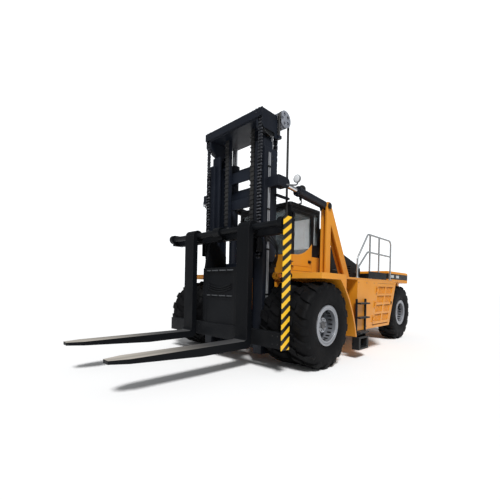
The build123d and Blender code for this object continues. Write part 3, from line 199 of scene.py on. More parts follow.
# Wheels. Tyres are moulded rubber with curved lugs that wrap over the shoulder, rims are pressed and welded
# steel under silver paint, and each rim is held on its hub by a ring of nuts, dark wedges and a lock ring.
SIDES = (("left", 1), ("right", -1))
X_AXIS = Vector((1, 0, 0))
Y_AXIS = Vector((0, 1, 0))
Z_AXIS = Vector((0, 0, 1))


def turns(count, start=0.0):
    """Angles that share out a full turn."""
    return [start + 2 * math.pi * step / count for step in range(count)]


def circle(centre, first, second, radius, angles):
    """Points round a centre, turning from the first direction towards the second."""
    return [centre + (first * math.cos(angle) + second * math.sin(angle)) * radius for angle in angles]


def about(centre, half):
    """The span that reaches equally far to both sides of a centre."""
    return (centre - half, centre + half)


class Shape:
    """A mesh in the making: points and faces, added form by form, then turned into a piece."""

    def __init__(self):
        self.points = []
        self.faces = []

    def net(self, rows, loop=False):
        """Faces over rings of points, where loop joins the last ring to the first."""
        start = len(self.points)
        wide = len(rows[0])
        for row in rows:
            self.points.extend(row)
        for i in range(len(rows) if loop else len(rows) - 1):
            here = start + i * wide
            there = start + (i + 1) % len(rows) * wide
            for j in range(wide):
                k = (j + 1) % wide
                self.faces.append((here + j, here + k, there + k, there + j))
        return start

    def loft(self, rows):
        """A closed form through rings of points, capped at both ends."""
        start = self.net(rows)
        wide = len(rows[0])
        last = start + (len(rows) - 1) * wide
        self.faces.append(tuple(range(start + wide - 1, start - 1, -1)))
        self.faces.append(tuple(range(last, last + wide)))

    def box(self, xs, ys, zs, side=1):
        """A block over three spans, where side -1 mirrors it to the right of the truck."""
        (x0, x1), (y0, y1) = xs, sorted(side * y for y in ys)
        self.loft([[(x0, y0, z), (x1, y0, z), (x1, y1, z), (x0, y1, z)] for z in zs])

    def plate(self, outline, ys):
        """A flat sheet: an outline in X and Z between two places along Y."""
        self.loft([[(x, y, z) for x, z in outline] for y in ys])

    def lathe(self, profile, centre, axis, sides=16, hollow=False):
        """A turned form: profile gives (distance along the axis, radius); hollow closes it into a ring."""
        axis = Vector(axis).normalized()
        across = axis.orthogonal().normalized()
        third = axis.cross(across)
        rows = [circle(Vector(centre) + axis * along, across, third, radius, turns(sides))
                for along, radius in profile]
        if hollow:
            self.net(rows, loop=True)
        else:
            self.loft(rows)

    def tube(self, path, radius, sides=10):
        """A round bar along a run of points."""
        path = [Vector(point) for point in path]
        rows = []
        side = None
        for i, point in enumerate(path):
            ahead = (path[min(i + 1, len(path) - 1)] - path[max(i - 1, 0)]).normalized()
            side = ahead.orthogonal() if side is None else side - ahead * side.dot(ahead)
            side.normalize()
            rows.append(circle(point, side, ahead.cross(side), radius, turns(sides)))
        self.loft(rows)

    def bolt(self, place, axis, radius, height):
        """A hexagon head on a washer."""
        self.lathe(((0, radius * 1.5), (height * 0.2, radius * 1.5)), place, axis, sides=14)
        self.lathe(((0, radius), (height * 0.85, radius), (height, radius * 0.8)), place, axis, sides=6)

    def piece(self, name, finish, body, bevel=0.0):
        """Turns the form into an object that rides on a body."""
        crease = 0.7
        mesh = bpy.data.meshes.new(name)
        mesh.from_pydata([tuple(point) for point in self.points], [], self.faces)
        work = bmesh.new()
        work.from_mesh(mesh)
        bmesh.ops.recalc_face_normals(work, faces=work.faces)
        work.to_mesh(mesh)
        work.free()
        mesh.shade_smooth()
        mesh.set_sharp_from_angle(angle=crease)
        mesh.materials.append(finish)
        made = bpy.data.objects.new(name, mesh)
        bpy.context.scene.collection.objects.link(made)
        if bevel:
            ease = made.modifiers.new("ease", "BEVEL")
            ease.width = bevel
            ease.segments = 2
        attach(made, body)
        return made


silver_paint = painted("silver_paint", rgb(0.36, 0.375, 0.41), rgb(0.27, 0.285, 0.31), rgb(0.09, 0.07, 0.05),
                       roughness=0.28, dust=0.12, metallic=0.65)
nut_steel = painted("nut_steel", rgb(0.16, 0.16, 0.165), rgb(0.1, 0.1, 0.105), grey(0.25),
                    roughness=0.34, dust=0.2, metallic=0.7)
tyre_rubber, place = new_finish("tyre_rubber")
scuff = place.noise(scale=7.0, detail=5.0).between(0.4, 0.75)
rubber_grain = place.noise(scale=130.0)
set_finish(tyre_rubber, {
    "Base Color": scuff.blend(rgb(0.0035, 0.0036, 0.0042), rgb(0.0065, 0.0066, 0.0072)),
    "Roughness": 0.6 + scuff * 0.2,
    "Specular IOR Level": 0.09,
}, rubber_grain, depth=0.0012)


def middle(node):
    """The middle of a node's box."""
    low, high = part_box(node)
    return (Vector(low) + Vector(high)) / 2


tyre_low, tyre_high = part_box("rear_tyre_left")
tyre_r = (tyre_high[2] - tyre_low[2]) / 2
half_w = (tyre_high[1] - tyre_low[1]) / 2
axle_z = tyre_r
front_x = middle("front_axle").x
rear_x = middle("rear_tyre_left").x
round_steps = 102
# Shares of the half width and of the radius, from the bead to the crown.
casing = ((0.76, 0.404), (0.76, 0.455), (0.86, 0.485), (0.93, 0.535), (0.98, 0.615), (1.0, 0.715),
          (0.99, 0.8), (0.95, 0.868), (0.88, 0.917), (0.78, 0.942), (0.5, 0.953), (0.2, 0.957))
lug_count = 17
# Along a lug: share of the half width, share of the radius at its top, turn of its middle in pitches.
lug_run = ((0.05, 1.0, 0.0), (0.2, 1.0, 0.1), (0.4, 1.0, 0.3), (0.6, 0.998, 0.46), (0.76, 0.991, 0.55),
           (0.87, 0.972, 0.6), (0.935, 0.932, 0.62), (0.965, 0.885, 0.62), (0.972, 0.86, 0.62))
# Depth of a lug as a share of the radius; its half width and its sweep in pitches; how far its foot spreads.
lug_depth = 0.045
lug_half = 0.225
lug_sweep = 0.55
lug_middle = 0.3
lug_spread = 1.12


def add_tyre(form, centre):
    """A moulded tyre about an axis along Y: a closed casing and two staggered rows of lugs."""
    def at(share_y, share_r, angle):
        r = share_r * tyre_r
        return centre + Vector((r * math.sin(angle), share_y * half_w, r * math.cos(angle)))

    section = list(casing) + [(-y, r) for y, r in reversed(casing)]
    form.net([[at(y, r, angle) for angle in turns(round_steps)] for y, r in section], loop=True)
    pitch = 2 * math.pi / lug_count
    wide = lug_half * pitch
    for row, stagger in ((1, 0.25), (-1, 0.75)):
        for lug in range(lug_count):
            rings = []
            for y, top, turn in lug_run:
                angle = (lug + stagger) * pitch + (turn - lug_middle) * lug_sweep * pitch * row
                foot = top - lug_depth
                rings.append([at(row * y, foot, angle - wide * lug_spread), at(row * y, top, angle - wide),
                              at(row * y, top, angle + wide), at(row * y, foot, angle + wide * lug_spread)])
            form.loft(rings)


# Turned forms are lists of a distance along the wheel's axis, outward, and a radius.
stud_turning = ((-0.012, 0.02), (0.046, 0.02), (0.052, 0.015))
nut_turning = ((0, 0.04), (0.008, 0.04), (0.009, 0.034), (0.034, 0.034), (0.038, 0.029))
hub_cap_turning = ((0, 0.072), (0.02, 0.07), (0.03, 0.05))
lock_ring_turning = ((0.214, 0.374), (0.221, 0.384), (0.226, 0.372), (0.223, 0.345), (0.214, 0.326))
nut_ring = 0.247
nut_count = 10
disc_set = 0.04
hub_reach = 0.11
hub_ring = 0.105
hub_bolts = 8
wedge_count = 22
wedge_ring = 0.286
wedge_r = 0.013
wedge_low = 0.07
wedge_high = 0.15
for side, s in SIDES:
    out = Y_AXIS * s
    twin_low, twin_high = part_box(f"front_tyres_{side}")
    inner_y, outer_y = sorted((twin_low[1] + half_w, twin_high[1] - half_w), key=abs)
    rear_y = middle(f"rear_tyre_{side}").y
    twins = Shape()
    for y in (outer_y, inner_y):
        add_tyre(twins, Vector((front_x, y, axle_z)))
    twin_piece = twins.piece(f"moulded_tyres_{side}", tyre_rubber, f"front_wheel_{side}")
    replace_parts(twin_piece, f"front_tyres_{side}")
    single = Shape()
    add_tyre(single, Vector((rear_x, rear_y, axle_z)))
    single_piece = single.piece(f"moulded_tyre_rear_{side}", tyre_rubber, f"rear_wheel_{side}")
    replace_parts(single_piece, f"rear_tyre_{side}")
    for body, x, y in ((f"front_wheel_{side}", front_x, outer_y), (f"rear_wheel_{side}", rear_x, rear_y)):
        centre = Vector((x, y, axle_z))
        hub_face = centre + out * hub_reach
        studs = Shape()
        for spot in circle(centre - out * disc_set, X_AXIS, Z_AXIS, nut_ring, turns(nut_count)):
            studs.lathe(stud_turning, spot, out, sides=10)
            studs.lathe(nut_turning, spot, out, sides=6)
        for spot in circle(hub_face, X_AXIS, Z_AXIS, hub_ring, turns(hub_bolts, math.pi / hub_bolts)):
            studs.bolt(spot, out, radius=0.011, height=0.012)
        studs.lathe(hub_cap_turning, hub_face, out, sides=24)
        studs.piece(f"wheel_nuts_{body}", nut_steel, body)
        wedges = Shape()
        for spot in circle(centre, X_AXIS, Z_AXIS, wedge_ring, turns(wedge_count)):
            wedges.tube([spot + out * wedge_low, spot + out * wedge_high], wedge_r, sides=6)
        wedges.piece(f"rim_wedges_{body}", black_enamel, body)
        ring = Shape()
        ring.lathe(lock_ring_turning, centre, out, sides=64, hollow=True)
        ring.piece(f"lock_ring_{body}", silver_paint, body)
    coat(silver_paint, f"front_rims_{side}", f"rear_rim_{side}")

# Deck, toe boards, ladders and handrails. The deck is orange chequer plate on bearers, its toe boards and
# steps are black with raised buttons, and the rails are bent steel tube on bolted feet.
chequer, place = new_finish("chequer_plate")
eased = eased_edges(place, radius=0.006)
bars_per_metre = 22
u = place.axis("X") * bars_per_metre
v = place.axis("Y") * bars_per_metre
bar_a = (u + v).wrap() - 0.5
bar_b = (u - v).wrap() - 0.5
lozenge = (1 - bar_a * bar_a * 30).between(0.0, 0.6) * (1 - bar_b * bar_b * 5).between(0.0, 0.5)
trodden = place.noise(scale=2.6, detail=5.0).between(0.45, 0.7)
set_finish(chequer, {
    "Base Color": (lozenge * trodden * 0.5).blend(deep_orange, primer),
    "Roughness": 0.42 + trodden * 0.2,
}, lozenge, depth=0.003, rounding=eased)
rail_silver = painted("rail_silver", rgb(0.42, 0.44, 0.45), rgb(0.34, 0.36, 0.37), grey(0.2),
                      roughness=0.3, dust=0.1, metallic=0.7)
coat(chequer, "deck")
coat(black_enamel, "toe_boards", "hood_posts", "ladders")
coat(rail_silver, "handrails")

deck_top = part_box("deck")[1][2]
rail_low, rail_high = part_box("handrails")
rail_r = 0.02
post_places = (rail_high[0] - rail_r, front_x - 2.03, front_x - 2.563, rail_low[0] + rail_r)
foot_turning = ((0, 0.052), (0.01, 0.052), (0.011, 0.03), (0.03, 0.026))
foot_t = 0.01
foot_ring = 0.04
foot_bolt_turns = turns(4, start=math.pi / 4)
ladder_low, ladder_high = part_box("ladders")
tread_tops = (0.586, 0.906, 1.216)
tread_margin = 0.035
button_turning = ((-0.001, 0.012), (0.004, 0.01))
button_rows = 3
button_columns = 9
button_edge = 0.022
row_pitch = 0.036
column_pitch = (ladder_high[0] - ladder_low[0] - 2 * tread_margin) / (button_columns - 1)
for side, s in SIDES:
    feet = Shape()
    for x in post_places:
        foot = Vector((x, s * (rail_high[1] - rail_r), deck_top))
        feet.lathe(foot_turning, foot, Z_AXIS, sides=20)
        for spot in circle(foot + Z_AXIS * foot_t, X_AXIS, Y_AXIS, foot_ring, foot_bolt_turns):
            feet.bolt(spot, Z_AXIS, radius=0.005, height=0.006)
    feet.piece(f"rail_feet_{side}", rail_silver, "chassis")
    buttons = Shape()
    for z in tread_tops:
        for row in range(button_rows):
            for column in range(button_columns):
                x = ladder_low[0] + tread_margin + column * column_pitch
                y = s * (ladder_high[1] - button_edge - row * row_pitch)
                buttons.lathe(button_turning, (x, y, z), Z_AXIS, sides=8)
    buttons.piece(f"tread_buttons_{side}", nut_steel, "chassis")

# Side pods and grille doors: folded orange sheet with lapped seams and screws; the doors carry perforated
# sheet behind their bars, its holes painted dark as painted shade, and a dark latch.
coat(orange_enamel, "side_pods", "grille_door_left", "grille_door_right")
mesh_sheet, place = new_finish("perforated_sheet")
holes_per_metre = 42
hole_x = (place.axis("X") * holes_per_metre).wrap() - 0.5
hole_z = (place.axis("Z") * holes_per_metre).wrap() - 0.5
# The holes are not cut: each is painted near-black, painted shade of the space behind the sheet.
shaded_hole = 1 - (hole_x * hole_x + hole_z * hole_z).between(0.07, 0.11)
set_finish(mesh_sheet, {
    "Base Color": shaded_hole.blend(deep_orange, rgb(0.03, 0.012, 0.004)),
    "Roughness": 0.42 + shaded_hole * 0.4,
}, 1 - shaded_hole, depth=0.0015)
sheet_inset = 0.055
sheet_set = 0.01
sheet_t = 0.004
level_play = 0.002
latch_set = 0.028
latch_half = (0.022, 0.045)
latch_t = 0.012
bar_face = 0.035
knob_turning = ((0, 0.013), (0.02, 0.013), (0.023, 0.01))
for side, s in SIDES:
    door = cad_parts[f"grille_door_{side}"]
    spots = [door.matrix_world @ vertex.co for vertex in door.data.vertices]
    door_low, door_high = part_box(f"grille_door_{side}")
    back = (door_low[1] if s > 0 else door_high[1]) + s * sheet_set
    edges = []
    for z, step in ((door_low[2], sheet_inset), (door_high[2], -sheet_inset)):
        level = [spot.x for spot in spots if abs(spot.z - z) < level_play]
        edges.append((min(level) + sheet_inset, max(level) - sheet_inset, z + step))
    (foot_back, foot_front, foot_z), (head_back, head_front, head_z) = edges
    outline = ((foot_back, foot_z), (foot_front, foot_z), (head_front, head_z), (head_back, head_z))
    sheet = Shape()
    sheet.plate(outline, (back, back + s * sheet_t))
    sheet.piece(f"grille_mesh_{side}", mesh_sheet, f"grille_door_{side}")
    latch = Shape()
    latch_x = (foot_back + head_back) / 2 - latch_set
    latch_z = (foot_z + head_z) / 2
    face = back + s * bar_face
    latch.box(about(latch_x, latch_half[0]), (face, face + s * latch_t), about(latch_z, latch_half[1]))
    latch.lathe(knob_turning, (latch_x, face, latch_z), Y_AXIS * s)
    latch.piece(f"grille_latch_{side}", black_enamel, f"grille_door_{side}", bevel=0.003)
pod_low, pod_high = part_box("side_pods")
pod_face = 1.95
seam_inset = 0.06
low_seam_z = pod_low[2] + seam_inset
high_seam_z = pod_high[2] - seam_inset
# The pod's lower edge starts behind the ladder, so its first low screw is left out.
screw_spots = [(front_x - 1.38, high_seam_z)]
for screw_x in (front_x - 1.8, front_x - 2.2):
    screw_spots += [(screw_x, low_seam_z), (screw_x, high_seam_z)]
for side, s in SIDES:
    screws = Shape()
    for x, z in screw_spots:
        screws.bolt((x, s * pod_face, z), Y_AXIS * s, radius=0.009, height=0.008)
    screws.piece(f"pod_screws_{side}", nut_steel, "chassis")

# Front fenders and the frames for the tilt cylinders: heavy orange plate, flame cut and welded, with bolted
# feet under the frames and a black cap over each pivot pin.
coat(orange_enamel, "front_fenders", "a_frames")
frame_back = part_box("a_frames")[0][0]
sole_runs = ((front_x - 1.54, front_x - 1.3), (frame_back - 0.02, frame_back + 0.28))
sole_y = (0.975, 1.185)
sole_top = deck_top + 0.022
sole_margin = 0.03
sole_edge = 0.01
pivot_x = front_x - 1.42
pivot_z = 3.47
cap_y = 1.175
cap_turning = ((0, 0.075), (0.014, 0.075), (0.018, 0.068))
cap_t = 0.018
cap_ring = 0.05
cap_bolt_turns = turns(3, start=0.5)
for side, s in SIDES:
    feet = Shape()
    for x0, x1 in sole_runs:
        feet.box((x0, x1), sole_y, (deck_top, sole_top), s)
        for x in (x0 + sole_margin, x1 - sole_margin):
            for y in (sole_y[0] + sole_edge, sole_y[1] - sole_edge):
                feet.bolt((x, s * y, sole_top), Z_AXIS, radius=0.012, height=0.014)
    feet.piece(f"frame_feet_{side}", orange_enamel, "chassis", bevel=0.004)
    caps = Shape()
    apex = Vector((pivot_x, s * cap_y, pivot_z))
    caps.lathe(cap_turning, apex, Y_AXIS * s, sides=28)
    for spot in circle(apex + Y_AXIS * (s * cap_t), X_AXIS, Z_AXIS, cap_ring, cap_bolt_turns):
        caps.bolt(spot, Y_AXIS * s, radius=0.009, height=0.01)
    caps.piece(f"apex_cap_{side}", black_enamel, "chassis")

# Engine hood, counterweight and lamps: the hood is black folded sheet with bent grips, the counterweight one
# orange casting with a dark band round its upper edge, and the lamps have clear and amber lenses.
coat(black_enamel, "engine_hood")
hood_low, hood_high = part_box("engine_hood")
grip_places = (hood_high[0] - 0.32, hood_low[0] + 0.3)
grip_z = 2.02
grip_l = 0.18
grip_root = -0.004
grip_bend = 0.045
grip_out = 0.055
grip_ease = 0.02
catch_places = (hood_high[0] - 0.55, hood_low[0] + 0.62)
catch_w = 0.06
catch_y = (hood_high[1], hood_high[1] + 0.016)
catch_z = (1.79, 1.87)
grips = Shape()
for _, s in SIDES:
    y = s * hood_high[1]
    for x in grip_places:
        run = ((0, grip_root), (0, grip_bend), (grip_ease, grip_out), (grip_l - grip_ease, grip_out),
               (grip_l, grip_bend), (grip_l, grip_root))
        grips.tube([(x + along, y + s * proud, grip_z) for along, proud in run], radius=0.01)
    for x in catch_places:
        grips.box((x, x + catch_w), catch_y, catch_z, s)
grips.piece("hood_grips", nut_steel, "hood", bevel=0.002)
weight_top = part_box("counterweight")[1][2]
band_low = weight_top - 0.245
band_high = weight_top - 0.075


def weight_band(place):
    height = place.axis("Z")
    return (height > band_low) * (height < band_high), coal


weight_enamel = painted("weight_enamel", orange, deep_orange, primer, roughness=0.4, dust=0.22, lacquer=0.15,
                        patch=weight_band)
coat(weight_enamel, "counterweight")
lens, place = new_finish("lamp_lens")
flutes_per_metre = 70
flute_relief_and_shade = (place.axis("Y") * flutes_per_metre).wrap()
amber = place.axis("X") > front_x
# The clear lens goes from lighter to darker grey across each flute: painted highlight and shade of the
# flutes.
clear_with_flute_shade = flute_relief_and_shade.blend(rgb(0.55, 0.57, 0.57), rgb(0.4, 0.42, 0.43))
set_finish(lens, {
    "Base Color": amber.blend(clear_with_flute_shade, rgb(0.75, 0.19, 0.01)),
    "Roughness": 0.1 + flute_relief_and_shade * 0.08,
    "Coat Weight": 0.6,
}, flute_relief_and_shade, depth=0.0008)
coat(lens, "lamps")
bezel_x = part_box("lamps")[1][0] - 0.04
bezel_places = (1.12, 1.33)
bezel_z = 1.745
bezel_turning = ((0.004, 0.06), (0.03, 0.058), (0.036, 0.05), (0.036, 0.0455), (0.004, 0.0455))
bezels = Shape()
for _, s in SIDES:
    for y in bezel_places:
        bezels.lathe(bezel_turning, (bezel_x, s * y, bezel_z), X_AXIS, sides=28, hollow=True)
bezels.piece("lamp_bezels", black_enamel, "chassis")

# Cab: black steel frame with orange lower panels, toughened glass in rubber, door skins with a curved sill,
# grab handles and wipers; inside, a sprung seat with two stuffed cushions and a dark console.
cab_sill = 2.265


def cab_panels(place):
    return place.axis("Z") < cab_sill, orange


cab_finish = painted("cab_enamel", coal, slate, bare_steel, roughness=0.4, dust=0.08, lacquer=0.04, gleam=0.2,
                     patch=cab_panels)
cab_glass, place = new_finish("cab_glass")
haze = place.noise(scale=4.0, detail=4.0).between(0.5, 0.8)
set_finish(cab_glass, {
    "Base Color": haze.blend(rgb(0.22, 0.27, 0.29), rgb(0.28, 0.32, 0.33)),
    "Roughness": 0.03 + haze * 0.05,
    "Alpha": 0.34 + haze * 0.08,
    "Coat Weight": 0.4,
})
coat(cab_finish, "cab_frame", "cab_roof", "cab_door_left", "cab_door_right")
coat(black_enamel, "cab_hinges")
coat(cab_glass, "cab_glass", "cab_door_glass_left", "cab_door_glass_right")
dark_plastic = painted("dark_plastic", rgb(0.02, 0.02, 0.022), grey(0.03), grey(0.05),
                       roughness=0.55, dust=0.1)
coat(dark_plastic, "console", "roof_fittings")
seat_cloth, place = new_finish("seat_cloth")
threads_per_metre = 260
weft = (place.axis("X") * threads_per_metre).wrap() - 0.5
warp = (place.axis("Y") * threads_per_metre).wrap() - 0.5
worn = place.noise(scale=6.0, detail=4.0).between(0.4, 0.7)
set_finish(seat_cloth, {
    "Base Color": worn.blend(rgb(0.018, 0.018, 0.02), rgb(0.035, 0.035, 0.037)),
    "Roughness": 0.85 + worn * 0.1,
}, weft * warp, depth=0.0012)
seat_low, seat_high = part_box("seat")
cushion_z = seat_low[2] + 0.3
pad_rings = (0.04, 0.16, 0.3, 0.44, 0.58, 0.7, 0.8, 0.88, 0.94, 0.98, 1.0)
pad_turns = 72
corner_round = 0.3
seam_places = (-0.42, 0.42)
seam_half = 0.07
seam_depth = 0.22
side_pull = 0.05


def squared(value):
    """Pushes a circle's point out towards the corners of a square."""
    return math.copysign(abs(value) ** corner_round, value)


def add_cushion(form, centre, half, lean):
    """A stuffed pad: crowned on top, flat below, drawn in between its corners and sewn in two channels."""
    rings = []
    for side, run in ((1, pad_rings), (-1, tuple(reversed(pad_rings))[1:])):
        for reach in run:
            ring = []
            for angle in turns(pad_turns, math.pi / pad_turns):
                u = reach * squared(math.cos(angle))
                v = reach * squared(math.sin(angle))
                w = side * (1 - reach ** 5) ** 0.45
                if side > 0:
                    w = w * (0.72 + 0.28 * (1 - u * u) * (1 - v * v))
                    sewn = sum(math.exp(-((v - seam) / seam_half) ** 2) for seam in seam_places)
                    w = w - seam_depth * w * sewn
                u = u * (1 - side_pull * (1 - v * v))
                v = v * (1 - side_pull * (1 - u * u))
                ring.append(centre + lean @ Vector((u * half[0], v * half[1], w * half[2])))
            rings.append(ring)
    form.loft(rings)


cushion = Shape()
cushion_middle = Vector((seat_low[0] + 0.335, 0, cushion_z + 0.07))
cushion_half = (0.24, 0.28, 0.085)
add_cushion(cushion, cushion_middle, cushion_half, Matrix.Identity(3))
cushion_piece = cushion.piece("seat_cushion", seat_cloth, "chassis")
rest = Shape()
rest_half = ((seat_high[2] - cushion_z - 0.16) / 2, 0.26, 0.065)
rest_middle = Vector((seat_low[0] + 0.105, 0, cushion_z + 0.15 + rest_half[0]))
rest_lean = Matrix.Rotation(math.radians(83), 3, "Y")
add_cushion(rest, rest_middle, rest_half, rest_lean)
rest_piece = rest.piece("seat_back", seat_cloth, "chassis")
base_z = seat_low[2]
base_back = seat_low[0] + 0.11
base_front = seat_high[0] - 0.04
base_half = 0.24
base_t = 0.03
fold_inset = 0.03
fold_count = 5
fold_pitch = 0.052
fold_h = 0.054
fold_half = 0.2
fold_swell = 0.02
stand = Shape()
stand.box((base_back, base_front), about(0, base_half), (base_z, base_z + base_t))
for fold in range(fold_count):
    z = base_z + base_t + fold * fold_pitch
    grow = fold_swell if fold % 2 else 0.0
    fold_x = (base_back + fold_inset - grow, base_front - fold_inset + grow)
    stand.box(fold_x, about(0, fold_half + grow), (z, z + fold_h))
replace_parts(stand.piece("seat_stand", dark_plastic, "chassis", bevel=0.006), "seat")

door_face = 0.8
skin_margin = (0.014, 0.06)
skin_lap = 0.001
skin_foot = 2.02
skin_sill = cab_sill + 0.005
skin_rise = 0.3
skin_sweep = 2.6
skin_steps = 14
skin_t = 0.006
handle_z = 2.135
handle_half = 0.035
handle_plate = (0.05, 0.17)
handle_t = 0.012
handle_run = ((0.065, 0.01), (0.07, 0.04), (0.15, 0.04), (0.155, 0.01))
grab_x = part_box("cab_frame")[0][0] + 0.045
grab_run = ((0.79, 2.3), (0.83, 2.32), (0.845, 2.36), (0.845, 2.94), (0.83, 2.98), (0.79, 3.0))
for side, s in SIDES:
    door_low, door_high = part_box(f"cab_door_{side}")
    door_back = door_low[0]
    face = s * door_face
    skin = Shape()
    skin_back = door_back + skin_margin[0]
    skin_front = door_high[0] - skin_margin[1]
    brim = [(skin_front, skin_foot), (skin_back, skin_foot)]
    for step in range(skin_steps + 1):
        share = 1 - step / skin_steps
        brim_x = skin_front + (skin_back - skin_front) * share
        brim.append((brim_x, skin_sill + skin_rise * share ** skin_sweep))
    skin.plate(brim, (face - s * skin_lap, face + s * skin_t))
    skin.piece(f"door_skin_{side}", orange_enamel, f"cab_door_{side}")
    handle = Shape()
    handle_x = [door_back + along for along in handle_plate]
    handle.box(handle_x, (face, face + s * handle_t), about(handle_z, handle_half))
    bail = [(door_back + along, face + s * proud, handle_z) for along, proud in handle_run]
    handle.tube(bail, radius=0.008)
    handle.piece(f"door_handle_{side}", black_enamel, f"cab_door_{side}", bevel=0.002)
    grab = Shape()
    grab.tube([(grab_x, s * y, z) for y, z in grab_run], radius=0.014)
    grab.piece(f"grab_rail_{side}", black_enamel, "chassis")
pane_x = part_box("cab_glass")[1][0]
wiper_pin = (0.32, 2.24)
wiper_run = ((0.012, 0.32, 2.24), (0.035, 0.3, 2.34), (0.022, 0.12, 2.86))
boss_turning = ((0.001, 0.028), (0.031, 0.024))
blade_x = (pane_x + 0.003, pane_x + 0.018)
blade_y = about(0.12, 0.006)
blade_z = (2.62, 3.14)
wiper = Shape()
for _, s in SIDES:
    wiper.tube([(pane_x + proud, s * y, z) for proud, y, z in wiper_run], radius=0.007)
    wiper.box(blade_x, blade_y, blade_z, s)
    wiper.lathe(boss_turning, (pane_x, s * wiper_pin[0], wiper_pin[1]), X_AXIS)
wiper.piece("wipers", black_enamel, "chassis")
roof_low, roof_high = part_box("cab_roof")
roof_lens_x = roof_high[0] + 0.011
roof_lens_y = 0.24
roof_lens_z = roof_low[2] + 0.045
roof_lens_turning = ((0, 0.02), (0.008, 0.021), (0.01, 0.017))
roof_gear = Shape()
for _, s in SIDES:
    roof_gear.lathe(roof_lens_turning, (roof_lens_x, s * roof_lens_y, roof_lens_z), X_AXIS, sides=20)
roof_gear.piece("work_lamp_lenses", lens, "chassis")

# Air cleaner and silencer: grey painted drums of rolled sheet, standing on pipes behind the cab. Each is held
# by two steel clamp bands, which are drawn tight by a bolt through their lugs.
drum_grey = painted("drum_grey", rgb(0.17, 0.18, 0.19), rgb(0.12, 0.13, 0.14), rgb(0.08, 0.07, 0.06),
                    roughness=0.45, lacquer=0.08)
coat(drum_grey, "air_cleaner", "silencer")
band_places = (2.58, 2.86)
band_w = 0.035
band_in = 0.002
band_out = 0.005
ear_l = 0.04
ear_half = 0.02
ear_lap = 0.002
ear_bolt = (0.022, 0.017)
for name in ("air_cleaner", "silencer"):
    drum_low, drum_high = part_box(name)
    centre_x, centre_y, _ = middle(name)
    drum_r = (drum_high[0] - drum_low[0]) / 2
    ear_x = centre_x + drum_r
    band_turning = ((0, drum_r - band_in), (0, drum_r + band_out), (band_w, drum_r + band_out),
                    (band_w, drum_r - band_in))
    bands = Shape()
    for z in band_places:
        bands.lathe(band_turning, (centre_x, centre_y, z), Z_AXIS, sides=48, hollow=True)
        bands.box((ear_x, ear_x + ear_l), about(centre_y, ear_half), (z - ear_lap, z + band_w + ear_lap))
        bolt_place = (ear_x + ear_bolt[0], centre_y + ear_half, z + ear_bolt[1])
        bands.bolt(bolt_place, Y_AXIS, radius=0.008, height=0.012)
    bands.piece(f"{name}_bands", nut_steel, "chassis")

# Mast: rolled channels under satin black, with chromed lift rods, steel chain wheels, leaf chains built up
# from plates and pins, oil pipes clipped to the channels, hoses in ducts, and a lamp on an arm at each side.
mast_black = painted("mast_black", rgb(0.006, 0.008, 0.0135), rgb(0.0105, 0.014, 0.0225),
                     rgb(0.05, 0.055, 0.062), roughness=0.4, dust=0.04, gleam=0.2)
chrome, place = new_finish("rod_chrome")
polish = place.noise(scale=40.0, detail=2.0, stretch=(1.0, 1.0, 0.05))
set_finish(chrome, {
    "Base Color": polish.blend(rgb(0.68, 0.69, 0.71), rgb(0.56, 0.57, 0.59)),
    "Metallic": 1.0,
    "Roughness": 0.12 + polish * 0.06,
}, polish, depth=0.0002)
hose_wheel_edge = front_x + 0.19


def chain_wheels(place):
    return place.axis("X") > hose_wheel_edge, slate


wheel_steel = painted("wheel_steel", rgb(0.34, 0.36, 0.41), rgb(0.24, 0.26, 0.3), grey(0.4),
                      roughness=0.34, dust=0.1, metallic=0.5, patch=chain_wheels)
chain_steel = painted("chain_steel", rgb(0.09, 0.1, 0.12), rgb(0.05, 0.056, 0.066), rgb(0.2, 0.2, 0.22),
                      roughness=0.36, dust=0.05, metallic=0.4)
hose_rubber = painted("hose_rubber", rgb(0.012, 0.012, 0.013), grey(0.02), grey(0.03),
                      roughness=0.5, dust=0.1)
coat(mast_black, "outer_mast", "mast_brackets", "lift_barrels", "inner_mast")
coat(chrome, "lift_rods")
coat(wheel_steel, "mast_sheaves")
coat(hose_rubber, "mast_hose")

chain_low, chain_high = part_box("lift_chains")
chain_t = 0.05
chain_w = 0.09
front_run = chain_high[0] - chain_t / 2
back_run = chain_low[0] + chain_t / 2
wheel_r = (front_run - back_run) / 2
wheel_x = (front_run + back_run) / 2
wheel_z = chain_high[2] - wheel_r - chain_t / 2
back_end = 2.48
chain_rise = wheel_z - chain_low[2]
chain_turn = math.pi * wheel_r
chain_l = chain_rise + chain_turn + (wheel_z - back_end)
link = 0.0635
pin_r = 0.011
plate_t = 0.0075
plate_end = 0.023
plate_half = 0.0235
plate_corners = (-75, -25, 25, 75)
plate_lay = (0.041, 0.0245, 0.008)
plate_stagger = plate_t * 1.1


def along_chain(d):
    """The point at a distance along the chain, from its lower front end."""
    if d < chain_rise:
        return Vector((front_run, 0, chain_low[2] + d))
    if d < chain_rise + chain_turn:
        angle = (d - chain_rise) / wheel_r
        return Vector((wheel_x + wheel_r * math.cos(angle), 0, wheel_z + wheel_r * math.sin(angle)))
    return Vector((back_run, 0, wheel_z - (d - chain_rise - chain_turn)))


